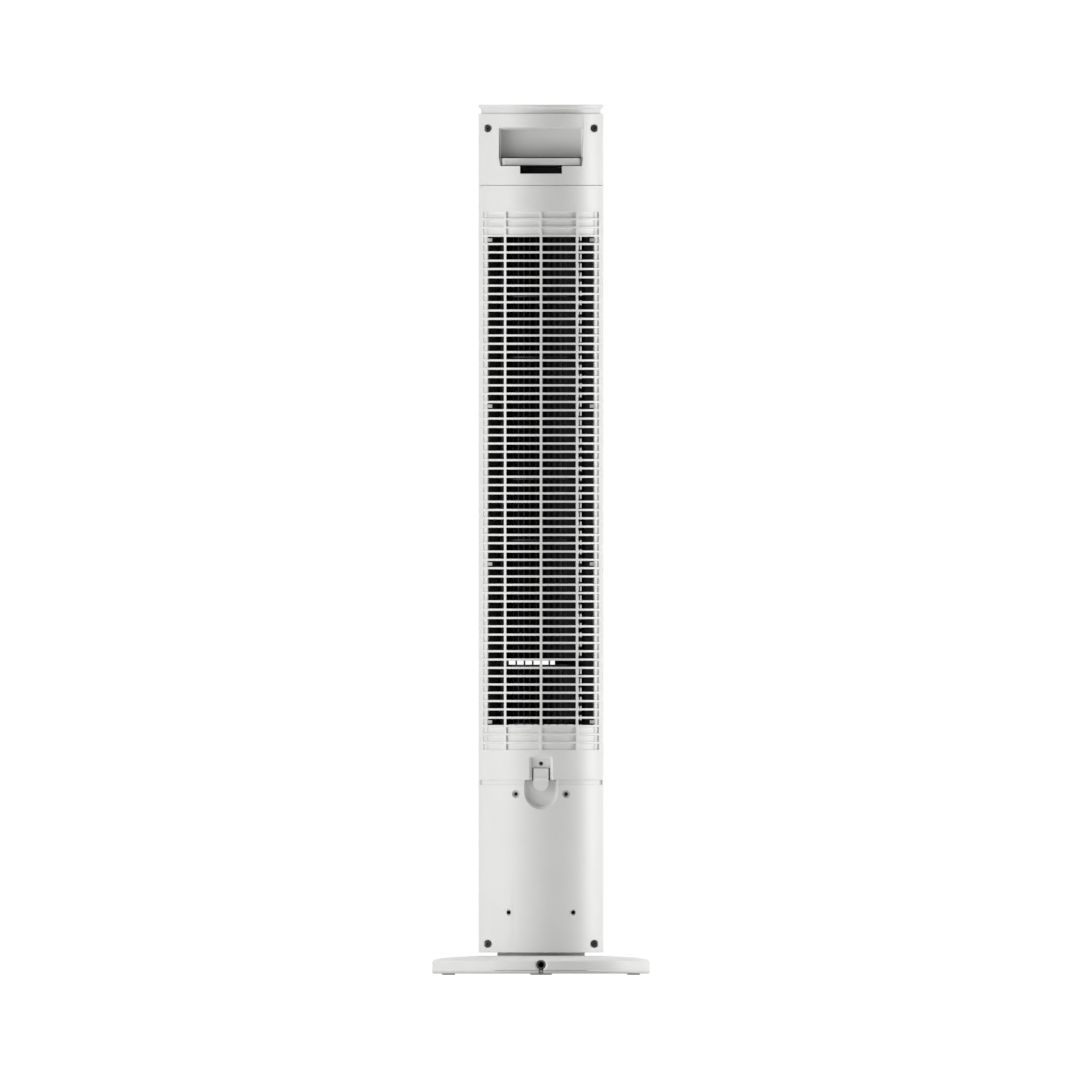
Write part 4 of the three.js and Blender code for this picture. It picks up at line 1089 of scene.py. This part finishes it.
# %% Stand the guide vane
VANE_X, VANE_Y, VANE_LONG = -44.2, -37, 8  # mm: where its inner edge is, and its length
BULGE, LEAN, TURN = 0.85, 0.6, 1.2  # mm: half its thickness, and how far its two sides lean
duct_z = box_mm("air_duct")[2]
vane_side = []
for share in steps(0, 1, 10):
    dx = BULGE * math.sin(math.pi * share) ** 0.6 - LEAN * share
    vane_side.append((dx, VANE_Y - VANE_LONG * share))
vane_shape = [(VANE_X + dx, y) for dx, y in vane_side]
vane_shape += [(VANE_X - dx - TURN * (VANE_Y - y) / VANE_LONG, y)
               for dx, y in vane_side[-2:0:-1]]
vane = pushed("guide_vane", vane_shape, duct_z[0] + 1, duct_z[1] - 1)
place(round_edges(vane, 0.3), polypropylene_duct, "column", "black_plastic")

# %% [markdown]
# ## Inside pieces
# What the frame already shapes well keeps its CAD mesh: the duct, motors, boards, gears and
# shafts. They only need the right material.

# %% Finish the pieces kept from the frame
KEPT = {
    polypropylene_duct: ["air_duct"],
    abs_white: ["column_floor"],
    acetal: ["bearing_ring", "ring_gear_segment", "swing_pinion"],
    iron: ["base_weight"],
    bronze: ["top_bearing_bush"],
    steel_zinc: ["fan_motor", "motor_bracket", "swing_motor", "coupling_pin", "motor_shaft",
                 "top_shaft"],
    solder_mask: ["power_board", "control_board"],
}
for material, names in KEPT.items():
    for name in names:
        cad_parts[name].data.materials.clear()
        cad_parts[name].data.materials.append(material)
print("kept from the frame:", sum(len(names) for names in KEPT.values()))

# %% [markdown]
# ## Floor and light
# The fan stands on a plain pale floor, painted with a roller, which leaves a soft matt
# surface. It reaches far enough that its edge can't be told from the room.

# %% Lay the floor
FLOOR = 30.0  # metres from the fan to the floor's edges
floor_mesh = bpy.data.meshes.new("studio_floor")
floor_mesh.from_pydata([(-FLOOR, -FLOOR, 0), (FLOOR, -FLOOR, 0), (FLOOR, FLOOR, 0),
                        (-FLOOR, FLOOR, 0)], [], [(0, 1, 2, 3)])
floor = bpy.data.objects.new("studio_floor", floor_mesh)
bpy.context.scene.collection.objects.link(floor)
floor_mesh.materials.append(
    finish("painted_floor_white", ("#F2F2F1", "#EEEEED"), 0.7, 30, 0.02, patch_mm=900))
print("floor:", 2 * FLOOR, "m wide")

# %% [markdown]
# The room is a world shader that depends only on the direction. Behind the fan it is a bright
# white screen, beside the fan it is pale, and towards the camera it fades to a dim grey, which
# is what shades the middle of the column.

# %% Light the room
CAMERA_SIDE, BACK_SIDE, BACKDROP = 0.21, 0.64, 1.03  # how bright each part of the room is
FADE = (-0.55, 0.35)  # the directions, as the Y of a unit arrow, between which it dims
SCREEN = (-0.98, -0.92)  # the directions between which the screen ends
world = bpy.data.worlds.new("studio")
bpy.context.scene.world = world
world.use_nodes = True
sky = world.node_tree
direction = add(sky, "ShaderNodeTexCoord").outputs["Generated"]
parts = add(sky, "ShaderNodeSeparateXYZ", {"Vector": direction})
fade = add(sky, "ShaderNodeMapRange", {
    "Value": parts.outputs["Y"], "From Min": FADE[0], "From Max": FADE[1],
    "To Min": BACK_SIDE, "To Max": CAMERA_SIDE}, interpolation_type="SMOOTHSTEP")
screen = add(sky, "ShaderNodeMapRange", {
    "Value": parts.outputs["Y"], "From Min": SCREEN[0], "From Max": SCREEN[1],
    "To Min": BACKDROP - BACK_SIDE, "To Max": 0.0})
glow = add(sky, "ShaderNodeMath", {0: fade.outputs["Result"], 1: screen.outputs["Result"]},
           operation="ADD")
background = sky.nodes["Background"]
sky.links.new(glow.outputs["Value"], background.inputs["Strength"])
background.inputs["Color"].default_value = (1, 1, 1, 1)
print("room brightness from", CAMERA_SIDE, "to", BACKDROP)

# %% [markdown]
# Four soft boxes shape the column: two wide ones on one side, one slightly behind on the
# other, and one high above for the base and the cap. They are large, so shadows stay soft.

# %% Hang the soft boxes
MIDDLE = (0, 0, 0.5)


def soft_box(name, position, aim, size, watts):
    """A rectangular lamp at a position in metres, turned towards its aim."""
    light = bpy.data.lights.new(name, "AREA")
    light.shape = "RECTANGLE"
    light.size, light.size_y = size
    light.energy = watts
    lamp = bpy.data.objects.new(name, light)
    lamp.location = position
    lamp.rotation_euler = (Vector(aim) - Vector(position)).to_track_quat("-Z", "Y").to_euler()
    lamp.visible_camera = False
    bpy.context.scene.collection.objects.link(lamp)
    print(name, "at", position, watts, "W")


soft_box("soft_box_left", (2.2, 0.9, 0.65), MIDDLE, (1.6, 1.3), 16)
soft_box("soft_box_left_near", (1.7, 1.7, 0.65), MIDDLE, (1.6, 1.3), 10)
soft_box("soft_box_right", (-2.2, -0.4, 0.65), MIDDLE, (1.2, 1.3), 26.6)
soft_box("soft_box_above", (0, 0, 4.2), (0, 0, 0), (3.0, 3.0), 62)
bpy.context.scene.view_settings.view_transform = "Standard"
bpy.context.scene.view_settings.look = "None"
